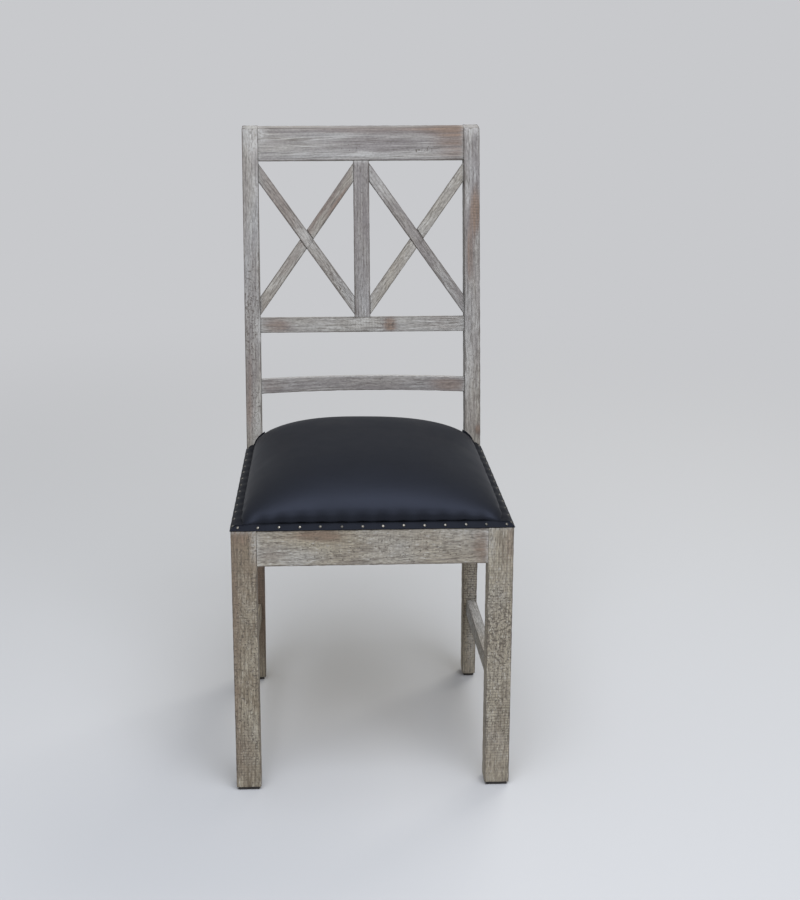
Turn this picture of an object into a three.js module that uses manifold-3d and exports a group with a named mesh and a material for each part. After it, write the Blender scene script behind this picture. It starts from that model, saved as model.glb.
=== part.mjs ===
// Dining chair of whitewashed hardwood: a back of two crosses between raked posts, and a
// crowned leather seat nailed to the frame. Millimetres, +Z up, the chair faces -Y, and the
// origin lies on the floor under the middle of its box.
import * as THREE from 'three';
import Module from 'manifold-3d';
import { mergeVertices } from 'three/addons/utils/BufferGeometryUtils.js';

// Overall sizes
const frontWidth = 450; // across the outer faces of the front legs
const backWidth = 418; // across the outer faces of the back posts
const seatDepth = 421; // front of the front legs to the front of the back posts
const seatHeight = 461; // floor to the top of the seat frame
const backHeight = 1010; // floor to the tops of the back posts
const backRake = 105; // how far the tops of the posts lie behind their bend
const fit = 0.3; // gap between pieces that touch
const mergeTolerance = 0.0001;

// Front legs, back posts and their glides
const legSection = 41;
const postWidth = 28;
const postDepth = 42;
const footWidth = 24;
const footDepth = 36;
const footSplay = 12; // how far the rear feet stand behind the posts at the seat
const bendRise = 25; // middle of the posts' bend above the seat frame
const bendLength = 50;
const bendSteps = 6;
const glideHeight = 5;
const glideInset = 3;

// Seat frame
const railHeight = 67;
const railThickness = 22;
const backRailInset = 4; // back rail inside the back faces of the posts
const tenonThickness = 8;
const tenonLength = 13;
const tenonInset = 7; // side tenons inside the outer faces
const tenonShoulder = 8; // shoulder under a seat rail's tenons
const tenonDrop = 18; // shoulder above them, below the bevel
const tenonRoot = 0.6; // start of a tenon, sunk in its own rail
const stretcherTop = 155;
const stretcherHeight = 30;
const stretcherThickness = 18;
const stretcherInset = 2;
const stretcherShoulder = 5;

// Back panel, measured along the raked posts; the crosses fill what the rails leave
const panelSetback = 8; // front of the panel behind the fronts of the posts
const crestHeight = 55.5;
const crestThickness = 28;
const latticeHeight = 27;
const latticeThickness = 25;
const handGap = 82; // clear height between the lattice rail and the lumbar rail
const lumbarRise = 68.5; // bend of the posts to the underside of the lumbar rail
const lumbarHeight = 26.5;
const lumbarThickness = 22;
const lumbarBow = 17; // middle of the lumbar rail behind its ends
const backTenonThickness = 10;
const backTenonShoulder = 5;
const stileWidth = 28;
const stileThickness = 24;
const stileTenon = 12;
const crossWidth = 19.5;
const crossThickness = 18;
const crossSetback = 3; // front of the crosses behind the front of the panel
const crossMargin = 4; // corner of a cross bar to the rail next to it
const lapClearance = 0.6; // either side of a half lap
const settleRounds = 40;

// Padded seat
const bevelRun = 9; // bevel on the frame's top edge that carries the nail strips
const bevelDrop = 7;
const stripThickness = 2;
const nailRadius = 2.6;
const nailDome = 1.5;
const nailRoot = 0.8; // foot of a nail head sunk in the strip
const nailRim = 0.3; // upright edge of a nail head
const nailShoulder = [1.8, 1.1]; // radius and height where the dome turns in
const nailPitch = 33.4;
const nailMargin = 8; // first nail to the end of its strip
const leatherThickness = 1.6;
const hemHeight = 4; // upright edge of the padding
const crownRise = 69;
const crownPowerAcross = 2; // 2 is an ellipse, higher is flatter on top and fuller at the edges
const crownPowerAlong = 3;
const crownSteps = 16;
const notchGap = 0.6; // padding clear of the posts

// Seat board, corner blocks and screws
const boardThickness = 12;
const blockReach = 45; // block along each rail past the leg or post
const blockHeight = 28;
const shankRadius = 2;
const headRadius = 4;
const headHeight = 2.5;
const blockScrewBite = 8; // into the leg or post
const boardScrewBite = 9; // into the seat board
const screwSides = 10;
const nailSides = 8;
const lumbarSteps = 16;

// Finishes
const limewash = new THREE.MeshStandardMaterial({ color: '#9c968d', roughness: 0.8 });
const rawWood = new THREE.MeshStandardMaterial({ color: '#9a7a56', roughness: 0.85 });
const plywood = new THREE.MeshStandardMaterial({ color: '#b99b70', roughness: 0.8 });
const leather = new THREE.MeshStandardMaterial({ color: '#2b2c31', roughness: 0.45 });
const foam = new THREE.MeshStandardMaterial({ color: '#d9cfae', roughness: 0.95 });
const darkPlastic = new THREE.MeshStandardMaterial({ color: '#2a2724', roughness: 0.8 });
const steel = new THREE.MeshStandardMaterial({ color: '#8f9092', roughness: 0.4, metalness: 1 });

// Places worked out from the sizes
const sideTaper = (frontWidth - backWidth) / 2 / seatDepth;
const bendHeight = seatHeight + bendRise;
const rakeAngle = Math.atan2(backRake, backHeight - bendHeight);
const railBottom = seatHeight - railHeight;
const footBottom = glideHeight + fit;
const legInner = frontWidth / 2 - legSection;
const postInner = backWidth / 2 - postWidth;
const postBack = seatDepth + postDepth;
const backRailBack = postBack - backRailInset;
const backRailFront = backRailBack - railThickness;
const crestBottom = topOfPanel(0) - crestHeight;
const lumbarTop = lumbarRise + lumbarHeight;
const latticeBottom = lumbarTop + handGap;
const latticeTop = latticeBottom + latticeHeight;
const boardBottom = seatHeight - boardThickness;
const blockTop = boardBottom - fit;
const blockBottom = blockTop - blockHeight;
const panelPlace = new THREE.Matrix4()
  .makeRotationX(-rakeAngle)
  .setPosition(0, seatDepth, bendHeight);

const wasm = await Module();
wasm.setup();

// Solids from three.js geometry, and back

function toSolid(geometry) {
  const plain = geometry.clone();
  plain.deleteAttribute('normal');
  plain.deleteAttribute('uv');
  const merged = mergeVertices(plain, mergeTolerance);
  return new wasm.Manifold(new wasm.Mesh({
    numProp: 3,
    vertProperties: new Float32Array(merged.attributes.position.array),
    triVerts: new Uint32Array(merged.index.array),
  }));
}

function toGeometry(solid) {
  const mesh = solid.getMesh();
  const geometry = new THREE.BufferGeometry();
  geometry.setAttribute('position', new THREE.BufferAttribute(mesh.vertProperties, 3));
  geometry.setIndex(new THREE.BufferAttribute(mesh.triVerts, 1));
  const facets = geometry.toNonIndexed();
  facets.computeVertexNormals();
  return facets;
}

function cut(solid, tools) {
  return tools.reduce((rest, tool) => rest.subtract(tool), solid);
}

function join(solids) {
  return solids.reduce((whole, solid) => whole.add(solid));
}

function box([x0, x1], [y0, y1], [z0, z1]) {
  const geometry = new THREE.BoxGeometry(x1 - x0, y1 - y0, z1 - z0);
  return toSolid(geometry.translate((x0 + x1) / 2, (y0 + y1) / 2, (z0 + z1) / 2));
}

// A box on either side: distances from the middle plane, mirrored to the left where asked.
function sideBox(side, [inner, outer], rangeY, rangeZ) {
  const rangeX = side > 0 ? [inner, outer] : [-outer, -inner];
  return box(rangeX, rangeY, rangeZ);
}

function asShape(points) {
  return new THREE.Shape(points.map(([u, v]) => new THREE.Vector2(u, v)));
}

function extrude(shape, depth) {
  return new THREE.ExtrudeGeometry(shape, { depth, bevelEnabled: false, curveSegments: bendSteps });
}

// Outline in plan (x, y), from one height to another.
function planPlate(points, [z0, z1]) {
  return toSolid(extrude(asShape(points), z1 - z0).translate(0, 0, z0));
}

// Outline seen from the side (y, z), from one x to another.
function sidePlate(shape, [x0, x1]) {
  const turn = new THREE.Matrix4().makeBasis(
    new THREE.Vector3(0, 1, 0), new THREE.Vector3(0, 0, 1), new THREE.Vector3(1, 0, 0));
  return toSolid(extrude(shape, x1 - x0).applyMatrix4(turn).translate(x0, 0, 0));
}

// Outline seen from the front (x, z), from one y to another.
function frontPlate(points, [y0, y1]) {
  const turn = new THREE.Matrix4().makeBasis(
    new THREE.Vector3(1, 0, 0), new THREE.Vector3(0, 0, 1), new THREE.Vector3(0, -1, 0));
  return toSolid(extrude(asShape(points), y1 - y0).applyMatrix4(turn).translate(0, y1, 0));
}

function grown([low, high], by) {
  return [low - by, high + by];
}

function place(solid, matrix) {
  return solid.transform(matrix.elements);
}

function newMesh(name, solid, material) {
  const mesh = new THREE.Mesh(toGeometry(solid), material);
  mesh.name = name;
  return mesh;
}

// Lines that the pieces share

// Distance of the seat's side line from the middle plane, y behind the front.
function sideLine(y) {
  return frontWidth / 2 - sideTaper * y;
}

// Leans a piece built against the plane x = 0 onto the seat's side line.
function onSideLine(side) {
  return new THREE.Matrix4().set(
    1, -side * sideTaper, 0, side * frontWidth / 2,
    0, 1, 0, 0,
    0, 0, 1, 0,
    0, 0, 0, 1);
}

// Height along the panel, at a depth in it, of the level cut on top of the back.
function topOfPanel(depth) {
  return (backHeight - bendHeight + depth * Math.sin(rakeAngle)) / Math.cos(rakeAngle);
}

// Front face of a rear leg at a height below the seat rails.
function rearLegFront(z) {
  return seatDepth + footSplay * (railBottom - z) / (railBottom - footBottom);
}

// Bevel planes: what lies outside them is cut from the seat frame's top edges.
const bevelOutline = [
  [-bevelRun, seatHeight - 2 * bevelDrop],
  [2 * bevelRun, seatHeight + bevelDrop],
  [-bevelRun, seatHeight + bevelDrop],
];

function frontBevel() {
  return sidePlate(asShape(bevelOutline), [-frontWidth, frontWidth]);
}

function backBevel() {
  const outline = bevelOutline.map(([y, z]) => [backRailBack - y, z]);
  return sidePlate(asShape(outline), [-frontWidth, frontWidth]);
}

function sideBevel(side) {
  const outline = bevelOutline.map(([inward, z]) => [-side * inward, z]);
  return place(frontPlate(outline, [-legSection, seatDepth]), onSideLine(side));
}

// Tenons of the seat frame, each grown by the gap when it cuts its mortise

const seatTenonHeights = [railBottom + tenonShoulder, seatHeight - tenonDrop];

function frontRailTenon(side, gap) {
  const middle = railThickness / 2;
  return sideBox(side, grown([legInner - tenonRoot, legInner + tenonLength], gap),
    grown([middle - tenonThickness / 2, middle + tenonThickness / 2], gap),
    grown(seatTenonHeights, gap));
}

function backRailTenon(side, gap) {
  const middle = (backRailFront + backRailBack) / 2;
  return sideBox(side, grown([postInner - tenonRoot, postInner + tenonLength], gap),
    grown([middle - tenonThickness / 2, middle + tenonThickness / 2], gap),
    grown(seatTenonHeights, gap));
}

function sideTenon(side, rangeY, heights, inset, gap) {
  const outward = grown([-inset - tenonThickness, -inset], gap);
  const rangeX = side > 0 ? outward : [-outward[1], -outward[0]];
  return place(box(rangeX, grown(rangeY, gap), grown(heights, gap)), onSideLine(side));
}

function sideRailTenons(side, gap) {
  const front = [legSection - tenonLength, legSection + tenonRoot];
  const back = [seatDepth - tenonRoot, seatDepth + tenonLength];
  return [front, back].map((range) => sideTenon(side, range, seatTenonHeights, tenonInset, gap));
}

const stretcherHeights = [stretcherTop - stretcherHeight, stretcherTop];

function stretcherTenons(side, gap) {
  const heights = grown(stretcherHeights, -stretcherShoulder);
  const inset = stretcherInset + (stretcherThickness - tenonThickness) / 2;
  const front = [legSection - tenonLength, legSection + tenonRoot];
  const legFront = rearLegFront(stretcherTop);
  const back = [legFront - tenonRoot, legFront + tenonLength];
  return [front, back].map((range) => sideTenon(side, range, heights, inset, gap));
}

// Tenons of the back panel's rails, in the panel's own frame

function panelTenon(side, rangeY, rangeZ, gap) {
  const middle = (rangeY[0] + rangeY[1]) / 2;
  return sideBox(side, grown([postInner - tenonRoot, postInner + tenonLength], gap),
    grown([middle - backTenonThickness / 2, middle + backTenonThickness / 2], gap),
    grown(rangeZ, gap - backTenonShoulder));
}

const crestDepths = [panelSetback, panelSetback + crestThickness];
const latticeDepths = [panelSetback, panelSetback + latticeThickness];
const lumbarDepths = [panelSetback, panelSetback + lumbarThickness];
const crestSpan = [crestBottom, topOfPanel(0)];
const latticeSpan = [latticeBottom, latticeTop];
const lumbarSpan = [lumbarRise, lumbarTop];

function panelTenons(side, gap) {
  return [
    panelTenon(side, crestDepths, crestSpan, gap),
    panelTenon(side, latticeDepths, latticeSpan, gap),
    panelTenon(side, lumbarDepths, lumbarSpan, gap),
  ];
}

// Corner blocks: in plan, on the right, from one rail round the leg or post to the other

function railInner(y) {
  return sideLine(y) - railThickness - fit;
}

const blockKinds = {
  front: {
    notch: [legInner, legSection],
    corners: [
      [legInner - blockReach, railThickness + fit],
      [legInner - fit, railThickness + fit],
      [legInner - fit, legSection + fit],
      [railInner(legSection), legSection + fit],
      [railInner(legSection + blockReach), legSection + blockReach],
    ],
  },
  back: {
    notch: [postInner, seatDepth],
    corners: [
      [railInner(seatDepth - blockReach), seatDepth - blockReach],
      [railInner(seatDepth), seatDepth - fit],
      [postInner - fit, seatDepth - fit],
      [postInner - fit, backRailFront - fit],
      [postInner - blockReach, backRailFront - fit],
    ],
  },
};

function mirrored(side, points) {
  return points.map(([x, y]) => [side * x, y]);
}

// Screws lie along +Y of their own frame, with the underside of the head at 0.
function screwSolid(length, gap) {
  const shank = shankRadius + gap;
  const head = headRadius + gap;
  const profile = [
    [0, -headHeight - gap],
    [head - headHeight / 2, -headHeight - gap],
    [head, -headHeight / 2],
    [head, 0],
    [shank, 0],
    [shank, length - shankRadius + gap],
    [0, length + gap],
  ];
  const points = profile.map(([radius, y]) => new THREE.Vector2(radius, y));
  return toSolid(new THREE.LatheGeometry(points, screwSides));
}

function screwPlace(point, direction) {
  const turn = new THREE.Quaternion().setFromUnitVectors(new THREE.Vector3(0, 1, 0), direction);
  return new THREE.Matrix4().compose(point, turn, new THREE.Vector3(1, 1, 1));
}

// A block's own screw runs square to its long face, through the corner in its notch.
function blockScrew(side, { corners, notch }) {
  const [[x0, y0]] = corners;
  const [x1, y1] = corners[corners.length - 1];
  const across = new THREE.Vector2(y1 - y0, x0 - x1).normalize();
  const signed = across.dot(new THREE.Vector2(notch[0] - x0, notch[1] - y0));
  const reach = Math.abs(signed) + fit;
  const towards = across.multiplyScalar(Math.sign(signed));
  const height = (blockTop + blockBottom) / 2;
  const point = new THREE.Vector3(
    side * (notch[0] - reach * towards.x), notch[1] - reach * towards.y, height);
  const direction = new THREE.Vector3(side * towards.x, towards.y, 0);
  return { place: screwPlace(point, direction), length: reach + blockScrewBite };
}

// The seat board's screw goes up through a block, beside the block's own screw.
function boardScrew(side, { corners }) {
  const last = corners[corners.length - 1];
  const middle = [0, 1].map((axis) => (corners[0][axis] + last[axis]) / 2);
  const [x, y] = [0, 1].map((axis) => (corners[0][axis] + corners[1][axis] + middle[axis]) / 3);
  const point = new THREE.Vector3(side * x, y, blockBottom - fit);
  const length = blockHeight + 2 * fit + boardScrewBite;
  return { place: screwPlace(point, new THREE.Vector3(0, 0, 1)), length };
}

function screwHole({ place: matrix, length }) {
  return place(screwSolid(length, fit), matrix);
}

// Legs, posts and glides

function frontLeg(side) {
  const block = sideBox(side, [legInner, frontWidth / 2], [0, legSection], [footBottom, seatHeight]);
  return cut(block, [
    frontBevel(),
    sideBevel(side),
    frontRailTenon(side, fit),
    sideRailTenons(side, fit)[0],
    stretcherTenons(side, fit)[0],
    screwHole(blockScrew(side, blockKinds.front)),
  ]);
}

// A post is where its side outline, bent above the seat, meets its front outline.
function backPost(side) {
  const halfBend = bendLength / 2;
  const lean = halfBend * Math.tan(rakeAngle);
  const outline = new THREE.Shape();
  outline.moveTo(seatDepth + footSplay, footBottom);
  outline.lineTo(seatDepth + footSplay + footDepth, footBottom);
  outline.lineTo(postBack, railBottom);
  outline.lineTo(postBack, bendHeight - halfBend);
  outline.quadraticCurveTo(postBack, bendHeight, postBack + lean, bendHeight + halfBend);
  outline.lineTo(postBack + backRake, backHeight);
  outline.lineTo(seatDepth + backRake, backHeight);
  outline.lineTo(seatDepth + lean, bendHeight + halfBend);
  outline.quadraticCurveTo(seatDepth, bendHeight, seatDepth, bendHeight - halfBend);
  outline.lineTo(seatDepth, railBottom);
  const middle = backWidth / 2 - postWidth / 2;
  const front = mirrored(side, [
    [middle - footWidth / 2, footBottom],
    [middle + footWidth / 2, footBottom],
    [middle + postWidth / 2, railBottom],
    [middle + postWidth / 2, backHeight],
    [middle - postWidth / 2, backHeight],
    [middle - postWidth / 2, railBottom],
  ]);
  const fromSide = sidePlate(outline, [-backWidth, backWidth]);
  const reach = postBack + footSplay + footDepth + backRake;
  const fromFront = frontPlate(front, [0, reach]);
  return cut(fromSide.intersect(fromFront), [
    sideRailTenons(side, fit)[1],
    backRailTenon(side, fit),
    stretcherTenons(side, fit)[1],
    ...panelTenons(side, fit).map((tenon) => place(tenon, panelPlace)),
    screwHole(blockScrew(side, blockKinds.back)),
  ]);
}

function frontGlide(side) {
  return sideBox(side, grown([legInner, frontWidth / 2], -glideInset),
    grown([0, legSection], -glideInset), [0, glideHeight]);
}

function rearGlide(side) {
  const middle = backWidth / 2 - postWidth / 2;
  const front = seatDepth + footSplay;
  return sideBox(side, grown([middle - footWidth / 2, middle + footWidth / 2], -glideInset),
    grown([front, front + footDepth], -glideInset), [0, glideHeight]);
}

// Seat rails and stretchers

function frontSeatRail() {
  const length = grown([-legInner, legInner], -fit);
  const rail = box(length, [0, railThickness], [railBottom, seatHeight]);
  const tenons = [-1, 1].map((side) => frontRailTenon(side, 0));
  return cut(join([rail, ...tenons]), [frontBevel()]);
}

function backSeatRail() {
  const length = grown([-postInner, postInner], -fit);
  const rail = box(length, [backRailFront, backRailBack], [railBottom, seatHeight]);
  const tenons = [-1, 1].map((side) => backRailTenon(side, 0));
  return cut(join([rail, ...tenons]), [backBevel()]);
}

// A bar against the seat's side line, from its outline (y, z).
function sideBar(side, outline, inset, thickness) {
  const rangeX = side > 0 ? [-inset - thickness, -inset] : [inset, inset + thickness];
  return place(sidePlate(asShape(outline), rangeX), onSideLine(side));
}

function sideSeatRail(side) {
  const outline = [
    [legSection + fit, railBottom],
    [seatDepth - fit, railBottom],
    [seatDepth - fit, seatHeight],
    [legSection + fit, seatHeight],
  ];
  const rail = sideBar(side, outline, 0, railThickness);
  return cut(join([rail, ...sideRailTenons(side, 0)]), [sideBevel(side)]);
}

function sideStretcher(side) {
  const [low, high] = stretcherHeights;
  const outline = [
    [legSection + fit, low],
    [rearLegFront(low) - fit, low],
    [rearLegFront(high) - fit, high],
    [legSection + fit, high],
  ];
  const bar = sideBar(side, outline, stretcherInset, stretcherThickness);
  return join([bar, ...stretcherTenons(side, 0)]);
}

// Back panel, in its own frame: x across, y into the panel, z up along the posts

const panelLength = grown([-postInner, postInner], -fit);

function stileTenonBox(rangeZ, gap) {
  const middle = panelSetback + stileThickness / 2;
  return box(grown([-stileWidth / 2, stileWidth / 2], gap - backTenonShoulder),
    grown([middle - backTenonThickness / 2, middle + backTenonThickness / 2], gap),
    grown(rangeZ, gap));
}

function upperStileTenon(gap) {
  return stileTenonBox([crestBottom - tenonRoot, crestBottom + stileTenon], gap);
}

function lowerStileTenon(gap) {
  return stileTenonBox([latticeTop - stileTenon, latticeTop + tenonRoot], gap);
}

function crestRail() {
  const [front, back] = crestDepths;
  const outline = [
    [front, crestBottom],
    [back, crestBottom],
    [back, topOfPanel(back)],
    [front, topOfPanel(front)],
  ];
  const tenons = [-1, 1].map((side) => panelTenon(side, crestDepths, crestSpan, 0));
  const rail = join([sidePlate(asShape(outline), panelLength), ...tenons]);
  return cut(rail, [upperStileTenon(fit)]);
}

function latticeRail() {
  const tenons = [-1, 1].map((side) => panelTenon(side, latticeDepths, latticeSpan, 0));
  const rail = join([box(panelLength, latticeDepths, latticeSpan), ...tenons]);
  return cut(rail, [lowerStileTenon(fit)]);
}

function centreStile() {
  const body = box([-stileWidth / 2, stileWidth / 2],
    [panelSetback, panelSetback + stileThickness],
    [latticeTop + fit, crestBottom - fit]);
  return join([body, upperStileTenon(0), lowerStileTenon(0)]);
}

// The lumbar rail is a straight bar pushed level to the rear along a parabola.
function lumbarRail() {
  const length = panelLength[1] - panelLength[0];
  const bar = new THREE.BoxGeometry(length, lumbarThickness, lumbarHeight, lumbarSteps, 1, 1);
  bar.translate(0, (lumbarDepths[0] + lumbarDepths[1]) / 2, (lumbarSpan[0] + lumbarSpan[1]) / 2);
  const places = bar.attributes.position;
  for (let i = 0; i < places.count; i += 1) {
    const share = 2 * places.getX(i) / length;
    const push = lumbarBow * (1 - share * share);
    places.setY(i, places.getY(i) + push * Math.cos(rakeAngle));
    places.setZ(i, places.getZ(i) + push * Math.sin(rakeAngle));
  }
  const tenons = [-1, 1].map((side) => panelTenon(side, lumbarDepths, lumbarSpan, 0));
  return join([toSolid(bar), ...tenons]);
}

// Half of a cross bar's upright end cut: the cut and the bar's slope depend on each other,
// so they are settled by repeated substitution.
function crossHalfCut(width, height) {
  let half = crossWidth / 2;
  for (let round = 0; round < settleRounds; round += 1) {
    half = crossWidth / 2 * Math.hypot(1, (height - 2 * half) / width);
  }
  return half;
}

// Outline (x, z) of a cross bar in the cell on one side, falling or rising to the right.
function crossOutline(side, falls, gap) {
  const inner = stileWidth / 2 + fit;
  const outer = postInner - fit;
  const [x0, x1] = side > 0 ? [inner, outer] : [-outer, -inner];
  const low = latticeTop + crossMargin;
  const high = crestBottom - crossMargin;
  const half = crossHalfCut(x1 - x0, high - low);
  const [start, end] = falls ? [high - half, low + half] : [low + half, high - half];
  const reach = half + gap;
  return [[x0, start - reach], [x1, end - reach], [x1, end + reach], [x0, start + reach]];
}

// The falling bar runs through in front at the half lap, the rising bar behind it.
function crossBar(side, falls) {
  const front = panelSetback + crossSetback;
  const back = front + crossThickness;
  const middle = (front + back) / 2;
  const bar = frontPlate(crossOutline(side, falls, 0), [front, back]);
  const lapDepth = falls ? [middle, back + fit] : [front - fit, middle + fit];
  return cut(bar, [frontPlate(crossOutline(side, !falls, lapClearance), lapDepth)]);
}

// Nail strips: bands of leather on the bevel, mitred at the front corners, with their nail heads

const bevelLength = Math.hypot(bevelRun, bevelDrop);
const bevelNormal = [-bevelDrop / bevelLength, bevelRun / bevelLength];

// Point (inward, z) on the bevel: share 0 at its lower edge, 1 at its upper, lifted square to it.
function onBevel(share, lift) {
  return [
    share * bevelRun + lift * bevelNormal[0],
    seatHeight - bevelDrop + share * bevelDrop + lift * bevelNormal[1],
  ];
}

const stripTop = fit + stripThickness;
const stripOutline = [onBevel(0, fit), onBevel(1, fit), onBevel(1, stripTop), onBevel(0, stripTop)];
const mitreReach = 3 * bevelRun;

// What lies past the mitre at a front corner, as seen from the front strip or the side strip.
function mitre(side, fromFront) {
  const step = fromFront ? -fit : fit;
  const far = fromFront ? frontWidth : 0;
  const outline = [-mitreReach, mitreReach].map((y) => [sideLine(y) - y + step, y]);
  const plan = [...outline, [far, mitreReach], [far, -mitreReach]];
  return planPlate(mirrored(side, plan), [seatHeight - mitreReach, seatHeight + mitreReach]);
}

function nailHead(point, direction) {
  const profile = [
    [0, -nailRoot],
    [nailRadius, -nailRoot],
    [nailRadius, nailRim],
    nailShoulder,
    [0, nailDome],
  ];
  const points = profile.map(([radius, y]) => new THREE.Vector2(radius, y));
  return place(toSolid(new THREE.LatheGeometry(points, nailSides)), screwPlace(point, direction));
}

// Even places from one end to the other, as near the pitch as a whole number allows.
function nailPlaces(start, end) {
  const span = end - start - 2 * nailMargin;
  const gaps = Math.max(1, Math.round(span / nailPitch));
  return Array.from({ length: gaps + 1 }, (_, i) => start + nailMargin + span * i / gaps);
}

const [nailInward, nailHeight] = onBevel(0.5, stripTop);

function frontNailStrip() {
  const reach = frontWidth / 2 + mitreReach;
  const band = sidePlate(asShape(stripOutline), [-reach, reach]);
  const nails = nailPlaces(-frontWidth / 2, frontWidth / 2).map((x) => nailHead(
    new THREE.Vector3(x, nailInward, nailHeight),
    new THREE.Vector3(0, bevelNormal[0], bevelNormal[1])));
  return join([cut(band, [mitre(-1, true), mitre(1, true)]), ...nails]);
}

function sideNailStrip(side) {
  const outline = stripOutline.map(([inward, z]) => [-side * inward, z]);
  const band = place(frontPlate(outline, [-bevelRun, seatDepth - fit]), onSideLine(side));
  const nails = nailPlaces(0, seatDepth).map((y) => nailHead(
    new THREE.Vector3(side * (sideLine(y) - nailInward), y, nailHeight),
    new THREE.Vector3(-side * bevelNormal[0], 0, bevelNormal[1])));
  return join([cut(band, [mitre(side, false)]), ...nails]);
}

function backNailStrip() {
  const outline = stripOutline.map(([inward, z]) => [backRailBack - inward, z]);
  const band = sidePlate(asShape(outline), panelLength);
  const nails = nailPlaces(-postInner, postInner).map((x) => nailHead(
    new THREE.Vector3(x, backRailBack - nailInward, nailHeight),
    new THREE.Vector3(0, -bevelNormal[0], bevelNormal[1])));
  return join([band, ...nails]);
}

// Padding: a pillow over the frame, notched round the posts

function crown(share, power) {
  return Math.pow(Math.max(0, 1 - Math.pow(Math.abs(share), power)), 1 / power);
}

// A pillow drawn in from the padding's outline, with its flat underside at a height.
function pillow(inset, bottom) {
  const shape = new THREE.BoxGeometry(2, 2, 2, crownSteps, crownSteps, 1);
  const places = shape.attributes.position;
  const front = bevelRun + fit + inset;
  const back = backRailBack - bevelRun - fit - inset;
  for (let i = 0; i < places.count; i += 1) {
    const across = Math.sin(places.getX(i) * Math.PI / 2);
    const along = Math.sin(places.getY(i) * Math.PI / 2);
    const y = (front + back) / 2 + along * (back - front) / 2;
    const halfWidth = sideLine(y) - bevelRun - fit - inset;
    const rise = crownRise * crown(across, crownPowerAcross) * crown(along, crownPowerAlong);
    const top = seatHeight + fit + hemHeight - inset + rise;
    places.setXYZ(i, across * halfWidth, y, places.getZ(i) > 0 ? top : bottom);
  }
  return toSolid(shape);
}

function postNotches() {
  return [-1, 1].map((side) => sideBox(side, [postInner - notchGap, frontWidth / 2],
    [seatDepth - notchGap, postBack], [seatHeight - crownRise, seatHeight + 2 * crownRise]));
}

function seatLeather() {
  const hollow = pillow(leatherThickness, seatHeight - hemHeight);
  return cut(pillow(0, seatHeight + fit), [hollow, ...postNotches()]);
}

function seatFoam() {
  return cut(pillow(leatherThickness + fit, seatHeight + fit), postNotches());
}

// Seat board, corner blocks and their screws

function seatBoard() {
  const half = [
    [legInner - fit, railThickness + fit],
    [legInner - fit, legSection + fit],
    [railInner(legSection), legSection + fit],
    [railInner(seatDepth), seatDepth - fit],
    [postInner - fit, seatDepth - fit],
    [postInner - fit, backRailFront - fit],
  ];
  const outline = [...half, ...mirrored(-1, half).reverse()];
  const holes = [-1, 1].flatMap((side) => Object.values(blockKinds)
    .map((kind) => screwHole(boardScrew(side, kind))));
  return cut(planPlate(outline, [boardBottom, seatHeight]), holes);
}

function cornerBlock(side, kind) {
  const block = planPlate(mirrored(side, kind.corners), [blockBottom, blockTop]);
  return cut(block, [screwHole(blockScrew(side, kind)), screwHole(boardScrew(side, kind))]);
}

function screwMesh(name, { place: matrix, length }) {
  const mesh = newMesh(name, screwSolid(length, 0), steel);
  mesh.applyMatrix4(matrix);
  return mesh;
}

// The chair

const chair = new THREE.Group();
chair.add(
  newMesh('front_seat_rail', frontSeatRail(), limewash),
  newMesh('back_seat_rail', backSeatRail(), limewash),
  newMesh('front_nail_strip', frontNailStrip(), leather),
  newMesh('back_nail_strip', backNailStrip(), leather),
  newMesh('seat_board', seatBoard(), plywood),
  newMesh('seat_foam', seatFoam(), foam),
  newMesh('seat_leather', seatLeather(), leather),
);

const panel = new THREE.Group();
panel.applyMatrix4(panelPlace);
panel.add(
  newMesh('crest_rail', crestRail(), limewash),
  newMesh('lattice_rail', latticeRail(), limewash),
  newMesh('lumbar_rail', lumbarRail(), limewash),
  newMesh('centre_stile', centreStile(), limewash),
);
chair.add(panel);

for (const [hand, side] of Object.entries({ left: -1, right: 1 })) {
  chair.add(
    newMesh(`front_leg_${hand}`, frontLeg(side), limewash),
    newMesh(`back_post_${hand}`, backPost(side), limewash),
    newMesh(`side_seat_rail_${hand}`, sideSeatRail(side), limewash),
    newMesh(`side_stretcher_${hand}`, sideStretcher(side), limewash),
    newMesh(`side_nail_strip_${hand}`, sideNailStrip(side), leather),
    newMesh(`front_glide_${hand}`, frontGlide(side), darkPlastic),
    newMesh(`rear_glide_${hand}`, rearGlide(side), darkPlastic),
  );
  panel.add(
    newMesh(`falling_cross_bar_${hand}`, crossBar(side, true), limewash),
    newMesh(`rising_cross_bar_${hand}`, crossBar(side, false), limewash),
  );
  for (const [end, kind] of Object.entries(blockKinds)) {
    chair.add(
      newMesh(`${end}_corner_block_${hand}`, cornerBlock(side, kind), rawWood),
      screwMesh(`${end}_block_screw_${hand}`, blockScrew(side, kind)),
      screwMesh(`${end}_board_screw_${hand}`, boardScrew(side, kind)),
    );
  }
}

// The origin goes under the middle of the chair's box.
chair.updateMatrixWorld(true);
const middleOfBox = new THREE.Box3().setFromObject(chair, true).getCenter(new THREE.Vector3());
chair.position.y = -middleOfBox.y;

export default chair;
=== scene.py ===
import functools
import math

import bpy
import numpy as np
from mathutils import Matrix, Vector


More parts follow.
